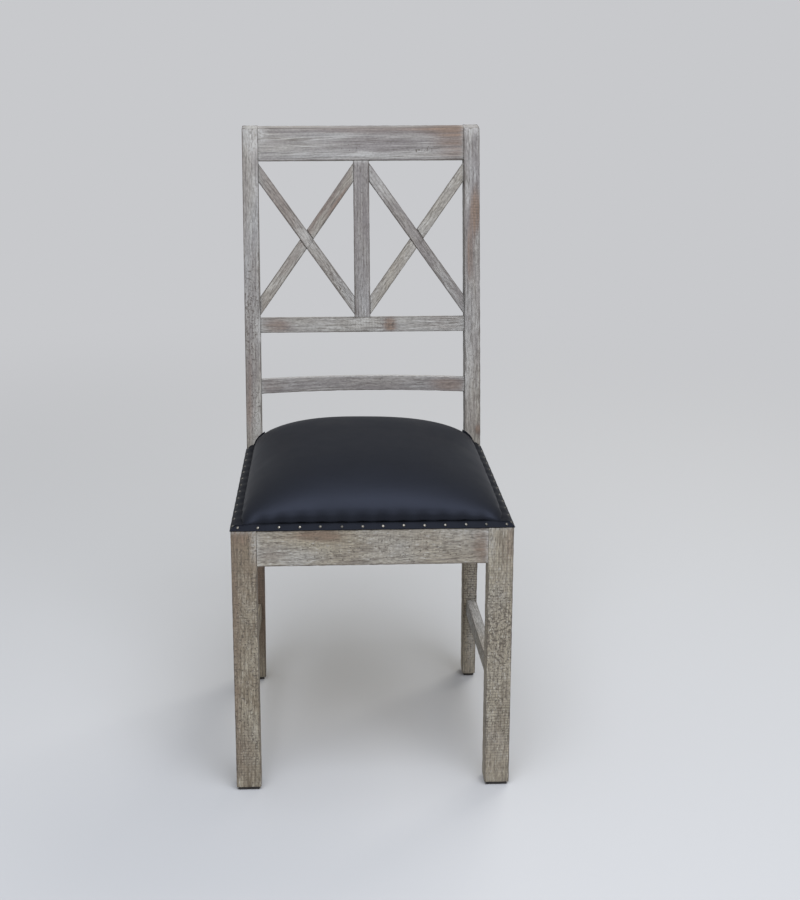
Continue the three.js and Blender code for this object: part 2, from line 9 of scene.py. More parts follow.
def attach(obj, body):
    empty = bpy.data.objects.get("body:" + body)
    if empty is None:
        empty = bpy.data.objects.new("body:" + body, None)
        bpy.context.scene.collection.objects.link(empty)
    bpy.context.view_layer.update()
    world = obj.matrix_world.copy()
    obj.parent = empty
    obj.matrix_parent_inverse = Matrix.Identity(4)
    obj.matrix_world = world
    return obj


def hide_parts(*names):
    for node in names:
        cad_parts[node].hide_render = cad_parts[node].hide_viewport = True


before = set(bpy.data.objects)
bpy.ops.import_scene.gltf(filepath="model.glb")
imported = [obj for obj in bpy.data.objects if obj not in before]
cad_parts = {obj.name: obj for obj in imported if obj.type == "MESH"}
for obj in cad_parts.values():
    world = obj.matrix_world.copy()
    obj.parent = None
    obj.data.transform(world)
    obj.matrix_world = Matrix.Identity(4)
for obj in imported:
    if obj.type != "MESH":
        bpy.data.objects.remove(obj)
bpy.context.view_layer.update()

# Looks of a dining chair: limewashed hardwood with a back of two crosses, a crowned leather seat
# and a row of brass nails. Lengths are millimetres in the CAD frame: +X to the right of someone
# who looks at the front, -Y to the front, +Z up.

MM = 0.001
SIDES = {"left": -1, "right": 1}


def vertex_rows(mesh, field):
    """Three numbers for each vertex of a mesh: its place in metres (co) or its normal."""
    rows = np.empty(len(mesh.vertices) * 3, np.float32)
    mesh.vertices.foreach_get(field, rows)
    return rows.reshape(-1, 3).astype(float)


def mesh_points(mesh):
    """Vertices of a mesh in millimetres."""
    return vertex_rows(mesh, "co") / MM


def node_box(node):
    """Lowest and highest corner of a CAD node."""
    points = mesh_points(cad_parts[node].data)
    return points.min(axis=0), points.max(axis=0)


# Sizes that the frame's boxes don't give
FIT = 0.1  # gap between pieces that touch
POST_DEPTH = 42
FOOT_WIDTH = 24
FOOT_DEPTH = 36
FOOT_SPLAY = 12
BEND_RISE = 25
BEND_LENGTH = 50
RAIL_THICKNESS = 22
STRETCHER_THICKNESS = 18
STRETCHER_INSET = 2
LUMBAR_BOW = 17
LUMBAR_THICKNESS = 22
LUMBAR_HEIGHT = 26.5
HAND_GAP = 82  # between the lumbar rail and the lattice rail
STILE_WIDTH = 28
STILE_THICKNESS = 24
CROSS_WIDTH = 19.5
LAP_CLEARANCE = 0.6
BEVEL_RUN = 9
BEVEL_DROP = 7
STRIP_THICKNESS = 2
NAIL_RADIUS = 2.6
NAIL_DOME = 1.7
NAIL_PITCH = 33.4
NAIL_MARGIN = 8

# Sizes from the frame
LEG_LOW, LEG_HIGH = node_box("front_leg_right")
POST_LOW, POST_HIGH = node_box("back_post_right")
FRONT = LEG_LOW[1]
SEAT_TOP = LEG_HIGH[2]
HALF_FRONT = LEG_HIGH[0]
RAIL_BOTTOM = node_box("front_seat_rail")[0][2]
POST_FRONT = POST_LOW[1]
POST_BACK = POST_FRONT + POST_DEPTH
BACK_RAIL_BACK = node_box("back_seat_rail")[1][1]
TOP = POST_HIGH[2]
SIDE_TAPER = (HALF_FRONT - POST_HIGH[0]) / (POST_FRONT - FRONT)
BEND = SEAT_TOP + BEND_RISE
LEAN = POST_HIGH[1] - POST_BACK
RAKE = math.atan2(LEAN, TOP - BEND)


def side_line(y):
    """Distance of the seat's outer side from the middle plane: a line from front legs to posts."""
    return HALF_FRONT - SIDE_TAPER * (y - FRONT)


def panel_box(node):
    """Lowest and highest (x, depth, height) of a CAD node in the raked plane of the back."""
    x, y, z = mesh_points(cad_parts[node].data).T
    depth = y * math.cos(RAKE) - z * math.sin(RAKE)
    height = y * math.sin(RAKE) + z * math.cos(RAKE)
    points = np.stack([x, depth, height])
    return points.min(axis=1), points.max(axis=1)


def from_panel(x, depth, height):
    """Places in the raked plane of the back, turned into the CAD frame."""
    y = depth * math.cos(RAKE) + height * math.sin(RAKE)
    z = height * math.cos(RAKE) - depth * math.sin(RAKE)
    return np.stack([x, y, z], axis=-1)


# Heights in the raked plane
(_, LATTICE_FRONT, LATTICE_BOTTOM), (_, _, LATTICE_TOP) = panel_box("lattice_rail")
CREST_BOTTOM = panel_box("crest_rail")[0][2]
LUMBAR_SPAN = (LATTICE_BOTTOM - HAND_GAP - LUMBAR_HEIGHT, LATTICE_BOTTOM - HAND_GAP)


# Materials

def linear(code):
    """sRGB hex code as linear red, green and blue with full alpha."""
    channels = np.array([int(code[i:i + 2], 16) for i in (1, 3, 5)]) / 255
    dark = channels / 12.92
    light = ((channels + 0.055) / 1.055) ** 2.4
    return (*np.where(channels <= 0.04045, dark, light), 1.0)


def add(tree, kind, inputs=(), out=0, **settings):
    """Adds a shader node with its settings and returns one output.

    A kind in capitals is an operation of the math node. inputs are values or links by name or
    number, or a row of them from the first input on.
    """
    if kind.isupper():
        kind, settings["operation"] = "Math", kind
    node = tree.nodes.new("ShaderNode" + kind)
    for name, value in settings.items():
        setattr(node, name, value)
    for key, value in inputs.items() if isinstance(inputs, dict) else enumerate(inputs):
        if isinstance(value, bpy.types.NodeSocket):
            tree.links.new(value, node.inputs[key])
        else:
            node.inputs[key].default_value = value
    return node.outputs[out] if node.outputs else None


def new_material(name):
    """An empty node material, and the function that adds nodes to it."""
    material = bpy.data.materials.new(name)
    material.use_nodes = True
    material.node_tree.nodes.clear()
    return material, functools.partial(add, material.node_tree)


def limewashed_hardwood():
    """Open-grained hardwood brushed with a thin white wash and rubbed down again.

    The wash stays in the grain, so the wood shows through in streaks along the fibres, in soft
    reddish patches, in dark pores and flecks, and in a brown line along each arris. The piece's
    own attributes say where: grain is (along, across, through) in millimetres from the pith, with
    its length drawn out or shortened for the piece, bar the same from the bar's end and unscaled,
    arris the distance from the nearest arris, and tone, warm, figure, rub, fleck, saw and pool are
    amounts.
    """
    material, make = new_material("limewashed_hardwood")
    grain, bar = (make("Attribute", out="Vector", attribute_name=name) for name in ("grain", "bar"))
    amounts = ("arris", "tone", "figure", "warm", "rub", "fleck", "saw", "pool")
    arris, tone, figure, warm, rub, fleck, saw, pool = (
        make("Attribute", out="Fac", attribute_name=name) for name in amounts)

    # Noises, each with its length along and its width across the fibres in millimetres. Pores and
    # fibres are drawn coarser than life, so that they show in a picture of the whole chair.
    fields = {
        "cloud": (grain, 160, 48, 2),
        "drift": (grain, 55, 14, 2),
        "streak": (grain, 95, 3.2, 2),
        "fibre": (grain, 30, 2.2, 2),
        "pore": (grain, 14, 1.8, 1),
        "grit": (bar, 5.0, 2.4, 2),
        "spot": (bar, 5.0, 3.0, 3),
        "chip": (bar, 3.4, 6.5, 2),
    }
    noise = {}
    for name, (place, length, width, detail) in fields.items():
        scaled = make("Mapping", {"Vector": place, "Scale": (1 / length, 1 / width, 1 / width)})
        noise[name] = make("TexNoise", {"Vector": scaled, "Scale": 1.0, "Detail": detail})

    ring_width = 5.0
    flow = make("Mapping", {"Vector": grain, "Scale": (0.02, 1.0, 1.0)})
    rings = make("TexWave", {
        "Vector": flow,
        "Scale": 2 * math.pi / (20 * ring_width),
        "Distortion": 2.5,
        "Detail": 1.0,
        "Detail Scale": 0.4,
    }, out="Fac", wave_type="RINGS", rings_direction="X")
    ring_lines = make("MapRange", {"Value": rings, "From Min": 0.55, "From Max": 0.95})
    kerf_pitch = 4.8
    kerfs = make("TexWave", {
        "Vector": bar,
        "Scale": 2 * math.pi / (20 * kerf_pitch),
        "Distortion": 3.0,
        "Detail Scale": 0.4,
    }, out="Fac", wave_type="BANDS", bands_direction="X")

    # How much wash is left: the piece's tone, uneven in clouds, drifts, streaks and rings. Low on the
    # right back post the tone is raised as painted light, paler where the seat shades it. Its figure
    # sets how far streaks and fibres count.
    swings = {}
    for name in ("cloud", "drift", "streak", "fibre", "grit"):
        swings[name] = make("SUBTRACT", (noise[name], 0.5))
    weights = {"cloud": 0.55, "drift": 0.5}
    for name, weight in (("streak", 0.65), ("fibre", 0.4)):
        weights[name] = make("MULTIPLY", (figure, weight))
    cover = tone
    for name, weight in weights.items():
        cover = make("MULTIPLY_ADD", (swings[name], weight, cover))
    ring_loss = make("MULTIPLY_ADD", (ring_lines, -0.05, cover))
    ragged = make("MULTIPLY_ADD", (noise["streak"], 1.6, -0.1))
    rubbed = make("MULTIPLY", (rub, ragged))
    rub_loss = make("MULTIPLY_ADD", (rubbed, -0.8, ring_loss))
    washed = make("MapRange", {
        "Value": rub_loss, "From Min": 0.15, "From Max": 0.75,
    }, interpolation_type="SMOOTHSTEP")

    # Bare wood from grey to tan and reddish, darker in the rings, under a warm or cool wash
    bare, tan, red, umber = (linear(code) for code in ("#76706d", "#7f725d", "#7d6a5b", "#504841"))
    warm_wash, cool_wash, chalk = (linear(code) for code in ("#a09886", "#999895", "#bab8b2"))
    reddened = make("MapRange", {"Value": rubbed, "From Min": 0.05, "From Max": 0.6})
    ring_dark = make("MULTIPLY", (ring_lines, 0.15))
    for share, tint in ((warm, tan), (reddened, red), (ring_dark, umber)):
        bare = make("Mix", {0: share, 6: bare, 7: tint}, out=2, data_type="RGBA")
    cool = make("MapRange", {"Value": noise["cloud"], "From Min": 0.3, "From Max": 0.7})
    cool = make("MULTIPLY_ADD", (cool, 0.6, 0.4))
    cool = make("SUBTRACT", (cool, warm), use_clamp=True)
    wash = make("Mix", {0: cool, 6: warm_wash, 7: cool_wash}, out=2, data_type="RGBA")
    opacity = make("MULTIPLY", (washed, 0.92))
    colour = make("Mix", {0: opacity, 6: bare, 7: wash}, out=2, data_type="RGBA")

    # Fine light and dark: along the fibres where the figure is strong, and as grit where it is weak
    lines = make("ADD", (swings["fibre"], swings["streak"]))
    lines = make("MULTIPLY", (lines, figure))
    gritty = make("MULTIPLY_ADD", (figure, -0.9, 1.7))
    lines = make("MULTIPLY_ADD", (swings["grit"], gritty, lines))
    fine = make("MapRange", {
        "Value": lines, "From Min": -0.35, "From Max": 0.35, "To Min": 0.7, "To Max": 1.2,
    })
    colour = make("VectorMath", {0: colour, "Scale": fine}, operation="SCALE")

    # Chalky specks where the wash dried thick or pooled at a joint, then dark marks: pores, flecks
    # where it has peeled, saw kerfs and worn arrises.
    specks = make("MapRange", {
        "Value": noise["pore"], "From Min": 0.4, "From Max": 0.25, "To Max": 0.7,
    })
    specks = make("MULTIPLY", (specks, washed))
    flakes = make("MapRange", {
        "Value": noise["spot"], "From Min": 0.35, "From Max": 0.6, "To Min": 0.15, "To Max": 0.75,
    })
    pooled = make("MULTIPLY", (pool, flakes), use_clamp=True)
    specks = make("MAXIMUM", (specks, pooled))
    dashes = make("MULTIPLY_ADD", (ring_lines, 0.07, noise["pore"]))
    dashes = make("MULTIPLY_ADD", (noise["drift"], 0.3, dashes))
    pores = make("MapRange", {"Value": dashes, "From Min": 0.73, "From Max": 0.87, "To Max": 0.55})
    level = make("MULTIPLY_ADD", (fleck, -0.18, 0.74))
    chipped = make("MAXIMUM", (noise["spot"], noise["chip"]))
    peeled = make("SUBTRACT", (chipped, level))
    flecks = make("MapRange", {"Value": peeled, "From Max": 0.05, "To Max": 0.75})
    kerf_mask = make("MapRange", {"Value": kerfs, "From Min": 0.4, "To Max": 0.8})
    sawn = make("MULTIPLY", (kerf_mask, saw))
    sawn = make("MULTIPLY", (sawn, noise["drift"]))
    uneven = make("MULTIPLY_ADD", (noise["drift"], 5.0, -1.2))
    edge = make("SUBTRACT", (uneven, arris))
    worn = make("MapRange", {"Value": edge, "To Max": 0.6})
    for mark, tint in ((specks, chalk), (pores, umber), (flecks, umber), (sawn, umber), (worn, umber)):
        colour = make("Mix", {0: mark, 6: colour, 7: tint}, out=2, data_type="RGBA")

    relief = noise["streak"]
    for mark, height in ((pores, -1.0), (flecks, -0.8), (sawn, -0.8)):
        relief = make("MULTIPLY_ADD", (mark, height, relief))
    bump = make("Bump", {"Height": relief, "Strength": 0.5, "Distance": 0.4 * MM})
    rough = make("MapRange", {"Value": washed, "To Min": 0.6, "To Max": 0.85})
    shader = make("BsdfPrincipled", {
        "Base Color": colour,
        "Roughness": rough,
        "Specular IOR Level": 0.3,
        "Normal": bump,
    })
    make("OutputMaterial", {"Surface": shader})
    return material


def black_leather(name, sheen):
    """Finished black cowhide with a satin top coat: a fine pebble and a soft, faintly blue sheen."""
    material, make = new_material(name)
    place = make("TexCoord", out="Object")
    pebble_size = 1.6  # coarser than life, so that it shows
    pebble = make("TexVoronoi", {
        "Vector": place, "Scale": 1 / (pebble_size * MM), "Randomness": 0.9,
    }, out="Distance", feature="SMOOTH_F1")
    pull_size = 60
    pull = make("TexNoise", {"Vector": place, "Scale": 1 / (pull_size * MM), "Detail": 3.0})
    dark, worn = linear("#0f1013"), linear("#17181b")
    colour = make("Mix", {0: pull, 6: dark, 7: worn}, out=2, data_type="RGBA")
    rough = make("MapRange", {
        "Value": pull, "From Min": 0.3, "From Max": 0.7, "To Min": 0.5, "To Max": 0.58,
    })
    bump = make("Bump", {"Height": pebble, "Strength": 0.25, "Distance": 0.25 * MM})
    shader = make("BsdfPrincipled", {
        "Base Color": colour,
        "Roughness": rough,
        "Specular IOR Level": sheen,
        "Specular Tint": linear("#d5e0ff"),
        "Normal": bump,
    })
    make("OutputMaterial", {"Surface": shader})
    return material


def antique_brass():
    """Domed brass nails, tarnished brown in patches and bright where hands have rubbed them."""
    material, make = new_material("antique_brass")
    place = make("TexCoord", out="Object")
    polish = make("Attribute", out="Fac", attribute_name="polish")
    tarnish_size = 2.2
    tarnish = make("TexNoise", {"Vector": place, "Scale": 1 / (tarnish_size * MM), "Detail": 2.0})
    dull, bright = linear("#625f59"), linear("#b0aa9d")
    share = make("MULTIPLY", (tarnish, polish))
    mix = make("MapRange", {"Value": share, "From Min": 0.05, "From Max": 0.5})
    colour = make("Mix", {0: mix, 6: dull, 7: bright}, out=2, data_type="RGBA")
    rough = make("MapRange", {"Value": mix, "To Min": 0.55, "To Max": 0.32})
    shader = make("BsdfPrincipled", {"Base Color": colour, "Metallic": 1.0, "Roughness": rough})
    make("OutputMaterial", {"Surface": shader})
    return material


def sawn_timber(name, dark_code, pale_code, stripe):
    """Unfinished sawn wood of the hidden pieces: plain straight grain."""
    material, make = new_material(name)
    place = make("TexCoord", out="Object")
    fibre_length = 45
    across = 1 / (stripe * MM)
    fibre = make("Mapping", {"Vector": place, "Scale": (1 / (fibre_length * MM), across, across)})
    figure = make("TexNoise", {"Vector": fibre, "Scale": 1.0, "Detail": 4.0})
    share = make("MapRange", {"Value": figure, "From Min": 0.3, "From Max": 0.7})
    dark, pale = linear(dark_code), linear(pale_code)
    colour = make("Mix", {0: share, 6: dark, 7: pale}, out=2, data_type="RGBA")
    bump = make("Bump", {"Height": figure, "Strength": 0.4, "Distance": 0.3 * MM})
    shader = make("BsdfPrincipled", {
        "Base Color": colour,
        "Roughness": 0.85,
        "Specular IOR Level": 0.25,
        "Normal": bump,
    })
    make("OutputMaterial", {"Surface": shader})
    return material


def mottled(name, texture, cell, codes, inputs, detail=0.0, rough=None, bump=None):
    """A plain finish that a texture with cells of one size leads from its dark to its pale colour.

    inputs are the shader's plain values, rough the ends of a roughness that follows the texture,
    and bump the strength and depth of its relief.
    """
    material, make = new_material(name)
    place = make("TexCoord", out="Object")
    cells = make(texture, {"Vector": place, "Scale": 1 / (cell * MM), "Detail": detail})
    dark, pale = (linear(code) for code in codes)
    inputs["Base Color"] = make("Mix", {0: cells, 6: dark, 7: pale}, out=2, data_type="RGBA")
    if rough:
        inputs["Roughness"] = make("MapRange", {"Value": cells, "To Min": rough[0], "To Max": rough[1]})
    if bump:
        strength, depth = bump
        inputs["Normal"] = make("Bump", {"Height": cells, "Strength": strength, "Distance": depth * MM})
    make("OutputMaterial", {"Surface": make("BsdfPrincipled", inputs)})
    return material


WOOD = limewashed_hardwood()
LEATHER = black_leather("black_leather", 0.28)
STRIP_LEATHER = black_leather("black_leather_strip", 0.12)
BRASS = antique_brass()
PLYWOOD = sawn_timber("birch_plywood", "#a98a5e", "#c9ad82", 6.0)
RAW_WOOD = sawn_timber("raw_hardwood", "#80623f", "#a8865e", 3.0)
# Dark moulded polyethylene glides with a fine matt texture, greyed by floor dust
PLASTIC = mottled("moulded_plastic", "TexNoise", 6, ("#1f1c1a", "#3a3530"), {"Roughness": 0.7},
                  detail=3.0, bump=(0.2, 0.2))
# Zinc-plated screws: pale grey metal, clouded where the plating has dulled
ZINC = mottled("zinc_plated_steel", "TexNoise", 3, ("#7c7d7e", "#b9bbbd"), {"Metallic": 1.0},
               detail=2.0, rough=(0.3, 0.55))
# Upholstery foam: cream with a fine open cell
FOAM = mottled("open_cell_foam", "TexVoronoi", 1.5, ("#b8ad8a", "#ddd4b6"), {"Roughness": 0.95},
               bump=(0.5, 0.5))


# Meshes

def tube_faces(rows, columns):
    """Quads between neighbouring rings, and a fan from each end ring to its pole."""
    row, column = np.meshgrid(np.arange(rows - 1), np.arange(columns), indexing="ij")
    beside = (column + 1) % columns
    quads = np.stack([row * columns + column, row * columns + beside,
                      (row + 1) * columns + beside, (row + 1) * columns + column], axis=-1)
    first = np.arange(columns)
    second = (first + 1) % columns
    last_row = (rows - 1) * columns
    start_pole = np.full(columns, rows * columns)
    start_fan = np.stack([start_pole, second, first], axis=-1)
    end_fan = np.stack([start_pole + 1, last_row + first, last_row + second], axis=-1)
    return quads.reshape(-1, 4), np.concatenate([start_fan, end_fan])


def turned_out(points, faces):
    """True if the faces point outwards: the summed volume of their cones from the origin is above 0."""
    a, b, c = points[faces[:, 0]], points[faces[:, 1]], points[faces[:, 2]]
    volume = np.einsum("ij,ij->i", a, np.cross(b, c)).sum()
    if faces.shape[1] == 4:
        d = points[faces[:, 3]]
        volume += np.einsum("ij,ij->i", a, np.cross(c, d)).sum()
    return volume > 0


def new_piece(name, points, quads, fans, material, replaced=(), attributes=None):
    """A smooth mesh from points in millimetres and its faces, riding on the frame's only body."""
    if not turned_out(points - points.mean(axis=0), quads):
        quads, fans = quads[:, ::-1], fans[:, ::-1]
    mesh = bpy.data.meshes.new(name)
    mesh.from_pydata((points * MM).tolist(), [], quads.tolist() + fans.tolist())
    for key, values in (attributes or {}).items():
        kind, field = ("FLOAT", "value") if values.ndim == 1 else ("FLOAT_VECTOR", "vector")
        attribute = mesh.attributes.new(key, kind, "POINT")
        attribute.data.foreach_set(field, values.astype(np.float32).ravel())
    mesh.shade_smooth()
    mesh.materials.append(material)
    piece = bpy.data.objects.new(name, mesh)
    bpy.context.scene.collection.objects.link(piece)
    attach(piece, "root")
    if replaced:
        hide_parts(*replaced)
    return piece


def section(corners, radius, step):
    """Outline of a bar: the polygon through the corners, counter-clockwise, each arris an arc.

    An arc turns from the normal of one side to that of the next about a point one radius inside
    both, and the flats between arcs have steps that close up towards the arcs by a cosine.
    Returns the points, their outward normals, and each one's distance along the outline from
    the nearest arc.
    """
    arc_steps = 3
    corners = np.array(corners, float)
    into = corners - np.roll(corners, 1, axis=0)
    into /= np.linalg.norm(into, axis=1, keepdims=True)
    normals = np.stack([into[:, 1], -into[:, 0]], axis=1)
    leaving = np.roll(normals, -1, axis=0)
    start = np.arctan2(normals[:, 1], normals[:, 0])
    turn = np.mod(np.arctan2(leaving[:, 1], leaving[:, 0]) - start, 2 * math.pi)
    centres = corners - into * radius * np.tan(turn / 2)[:, None] - normals * radius
    angles = start[:, None] + turn[:, None] * np.linspace(0, 1, arc_steps + 1)
    arc_normals = np.stack([np.cos(angles), np.sin(angles)], axis=-1)
    arcs = centres[:, None] + radius * arc_normals
    points, outward, distance = [], [], []
    for arc, arc_normal, next_arc in zip(arcs, arc_normals, np.roll(arcs, -1, axis=0)):
        flat = np.linalg.norm(next_arc[0] - arc[-1])
        count = max(2, math.ceil(flat / step))
        share = 0.5 - 0.5 * np.cos(math.pi * np.arange(1, count) / count)
        points += [arc, arc[-1] + share[:, None] * (next_arc[0] - arc[-1])]
        outward += [arc_normal, np.broadcast_to(arc_normal[-1], (count - 1, 2))]
        distance += [np.zeros(arc_steps + 1), flat * np.minimum(share, 1 - share)]
    return np.concatenate(points), np.concatenate(outward), np.concatenate(distance)


def rectangle(low_a, high_a, low_b, high_b):
    """Corners of an upright rectangle, counter-clockwise."""
    return [(low_a, low_b), (high_a, low_b), (high_a, high_b), (low_a, high_b)]


def rings_along(length, step, rounds, breaks=()):
    """Rings from end to end: each end closes over a quarter round, with even steps between.

    Returns each ring's place, how far it is drawn in, and its share of full size, which is below
    1 on the flats of the ends.
    """
    angle = np.linspace(0, math.pi / 2, 4)
    start, end = rounds
    even = np.linspace(start, length - end, max(3, math.ceil(length / step)))[1:-1]
    inner = np.union1d(even, np.array(breaks, float))
    place = np.concatenate([[0], start * (1 - np.cos(angle)), inner,
                            length - end * (1 - np.cos(angle[::-1])), [length]])
    inset = np.concatenate([[start], start * (1 - np.sin(angle)), np.zeros(len(inner)),
                            end * (1 - np.sin(angle[::-1])), [end]])
    share = np.ones(len(place))
    share[[0, -1]] = 0.5
    return place, inset, share


def swept(outline, along, share, inward=0.0):
    """An outline carried along a bar, drawn inward and then scaled about its middle ring by ring.

    Returns each point's place along the bar and in the section, and the faces. The last two points
    are the middles of the ends.
    """
    centre = outline.mean(axis=0)
    flat = centre + share[:, None, None] * (outline - inward - centre)
    flat = np.concatenate([flat.reshape(-1, 2), [centre, centre]])
    s = np.concatenate([np.repeat(along, len(outline)), along[[0, -1]]])
    return s, flat, *tube_faces(len(along), len(outline))


def wander(along, across, size, seed):
    """A smooth uneven field from -1 to 1: the mean of slanted sine waves with seeded phases."""
    waves = 7
    random = np.random.default_rng(seed)
    pitch = size * random.uniform(0.6, 1.8, (waves, 1, 1))
    slant = random.uniform(-1.0, 1.0, (waves, 1, 1))
    phase = random.uniform(0, 2 * math.pi, (waves, 1, 1))
    return np.sin(2 * math.pi * (along + slant * across) / pitch + phase).mean(axis=0)


def patches(along, across, marks):
    """Sum of soft ovals, each (along, across, half length, half width, strength)."""
    total = np.zeros(np.broadcast_shapes(along.shape, across.shape))
    for centre, offset, length, width, strength in marks:
        reach = ((along - centre) / length) ** 2 + ((across - offset) / width) ** 2
        total += strength * np.exp(-reach ** 1.5)
    return total


ARRIS_RADIUS = 0.9
JOINT_ROUND = 0.15  # arris where a bar's end meets its neighbour
FREE_ROUND = 1.5  # arris of an end that shows
STEP = 5.0  # between rings, and between points on a flat
FACE_WEAR = 0.12  # slow unevenness of the faces, its length along and how much it turns round a ring
FACE_WAVE = 70
FACE_TWIST = 3.0
DENT_DEPTH = 0.22  # dents of the arrises, their length along and how far they reach onto a face
DENT_WAVE = 23
DENT_FADE = 2.5
WEAR_CAP = 1.2
SEAL = 12.0  # how far an arris that a neighbour covers counts as away
POOL_SHARE = 0.7  # wash pooled at a joint, and how far from it
POOL_REACH = 4
GRAIN_SHIFT = 4000  # how far apart the grains of two bars may start
BAR_SHIFT = 1000.0


def wooden_bar(name, corners, length, place, rounds=(JOINT_ROUND, JOINT_ROUND), slant=None, breaks=()):
    """A sawn bar: its section carried along its length, with every face and arris a little worn.

    Each ring is drawn in by the end's quarter round, by a slow unevenness of the faces, and by
    dents that fade within a few millimetres of an arris. place turns (along, across, through)
    into the CAD frame; slant leans the rings along the bar for each millimetre across it.
    """
    outline, outward, from_arris = section(corners, ARRIS_RADIUS, STEP)
    along, inset, share = rings_along(length, STEP, rounds, breaks)
    look = LOOKS[name]
    seed = look["seed"]
    s, ring = along[:, None], np.arange(len(outline))[None, :]
    uneven = FACE_WEAR * (1 + wander(s, FACE_TWIST * ring, FACE_WAVE, seed))
    dents = DENT_DEPTH * (1 + wander(s, 0 * ring, DENT_WAVE, seed + 1)) ** 2
    worn = uneven + dents * np.exp(-(from_arris / DENT_FADE) ** 2)[None, :]
    drawn_in = inset[:, None] + np.minimum(worn, WEAR_CAP)
    s, flat, quads, fans = swept(outline, along, share, outward * drawn_in[..., None])
    if slant is not None:
        s = s + slant(s) * flat[:, 0]
    across, through = flat.T
    points = place(s, across, through)

    free = np.array(rounds) > JOINT_ROUND
    reach = np.linalg.norm(outline - outline.mean(axis=0), axis=1)
    from_edge = ((1 - share)[:, None] * reach).ravel()
    from_ends = np.repeat([along, length - along], len(outline), axis=1) + from_edge
    from_ends = np.concatenate([from_ends, [[reach.min(), length], [length, reach.min()]]], axis=1)
    end_distance = np.where(free[:, None], from_ends, np.inf).min(axis=0)
    joint_distance = np.where(free[:, None], np.inf, from_ends).min(axis=0)
    ring_distance = np.concatenate([np.tile(from_arris, len(along)), [length, length]])
    pith_across, pith_through, drift_across, drift_through = look["pith"]
    random = np.random.default_rng(seed)
    grain = np.stack([
        s / look.get("stretch", 1.0) + random.uniform(0, GRAIN_SHIFT),
        across - pith_across - drift_across * s,
        through - pith_through - drift_through * s,
    ], axis=-1)

    def marks(kind):
        return patches(s, across, look.get(kind, ()))

    attributes = {
        "grain": grain,
        "bar": np.stack([s, across, through], axis=-1) + BAR_SHIFT * seed,
        "arris": np.minimum(ring_distance, end_distance) + SEAL * marks("sealed"),
        "figure": np.full(len(s), look.get("figure", 1.0)),
        # The thin ovals take wash away and a negative one adds it; low on the right back post one is
        # painted light, a paler finish where the seat shades the post.
        "tone": look["tone"] - marks("thin"),
        "warm": look.get("warm", 0.0) + marks("stain"),
        "pool": POOL_SHARE * np.exp(-(joint_distance / POOL_REACH) ** 2) + marks("chalk"),
        **{kind: marks(kind) for kind in ("rub", "fleck", "saw")},
    }
    new_piece(name + "_wood", points, quads, fans, WOOD, (name,), attributes)
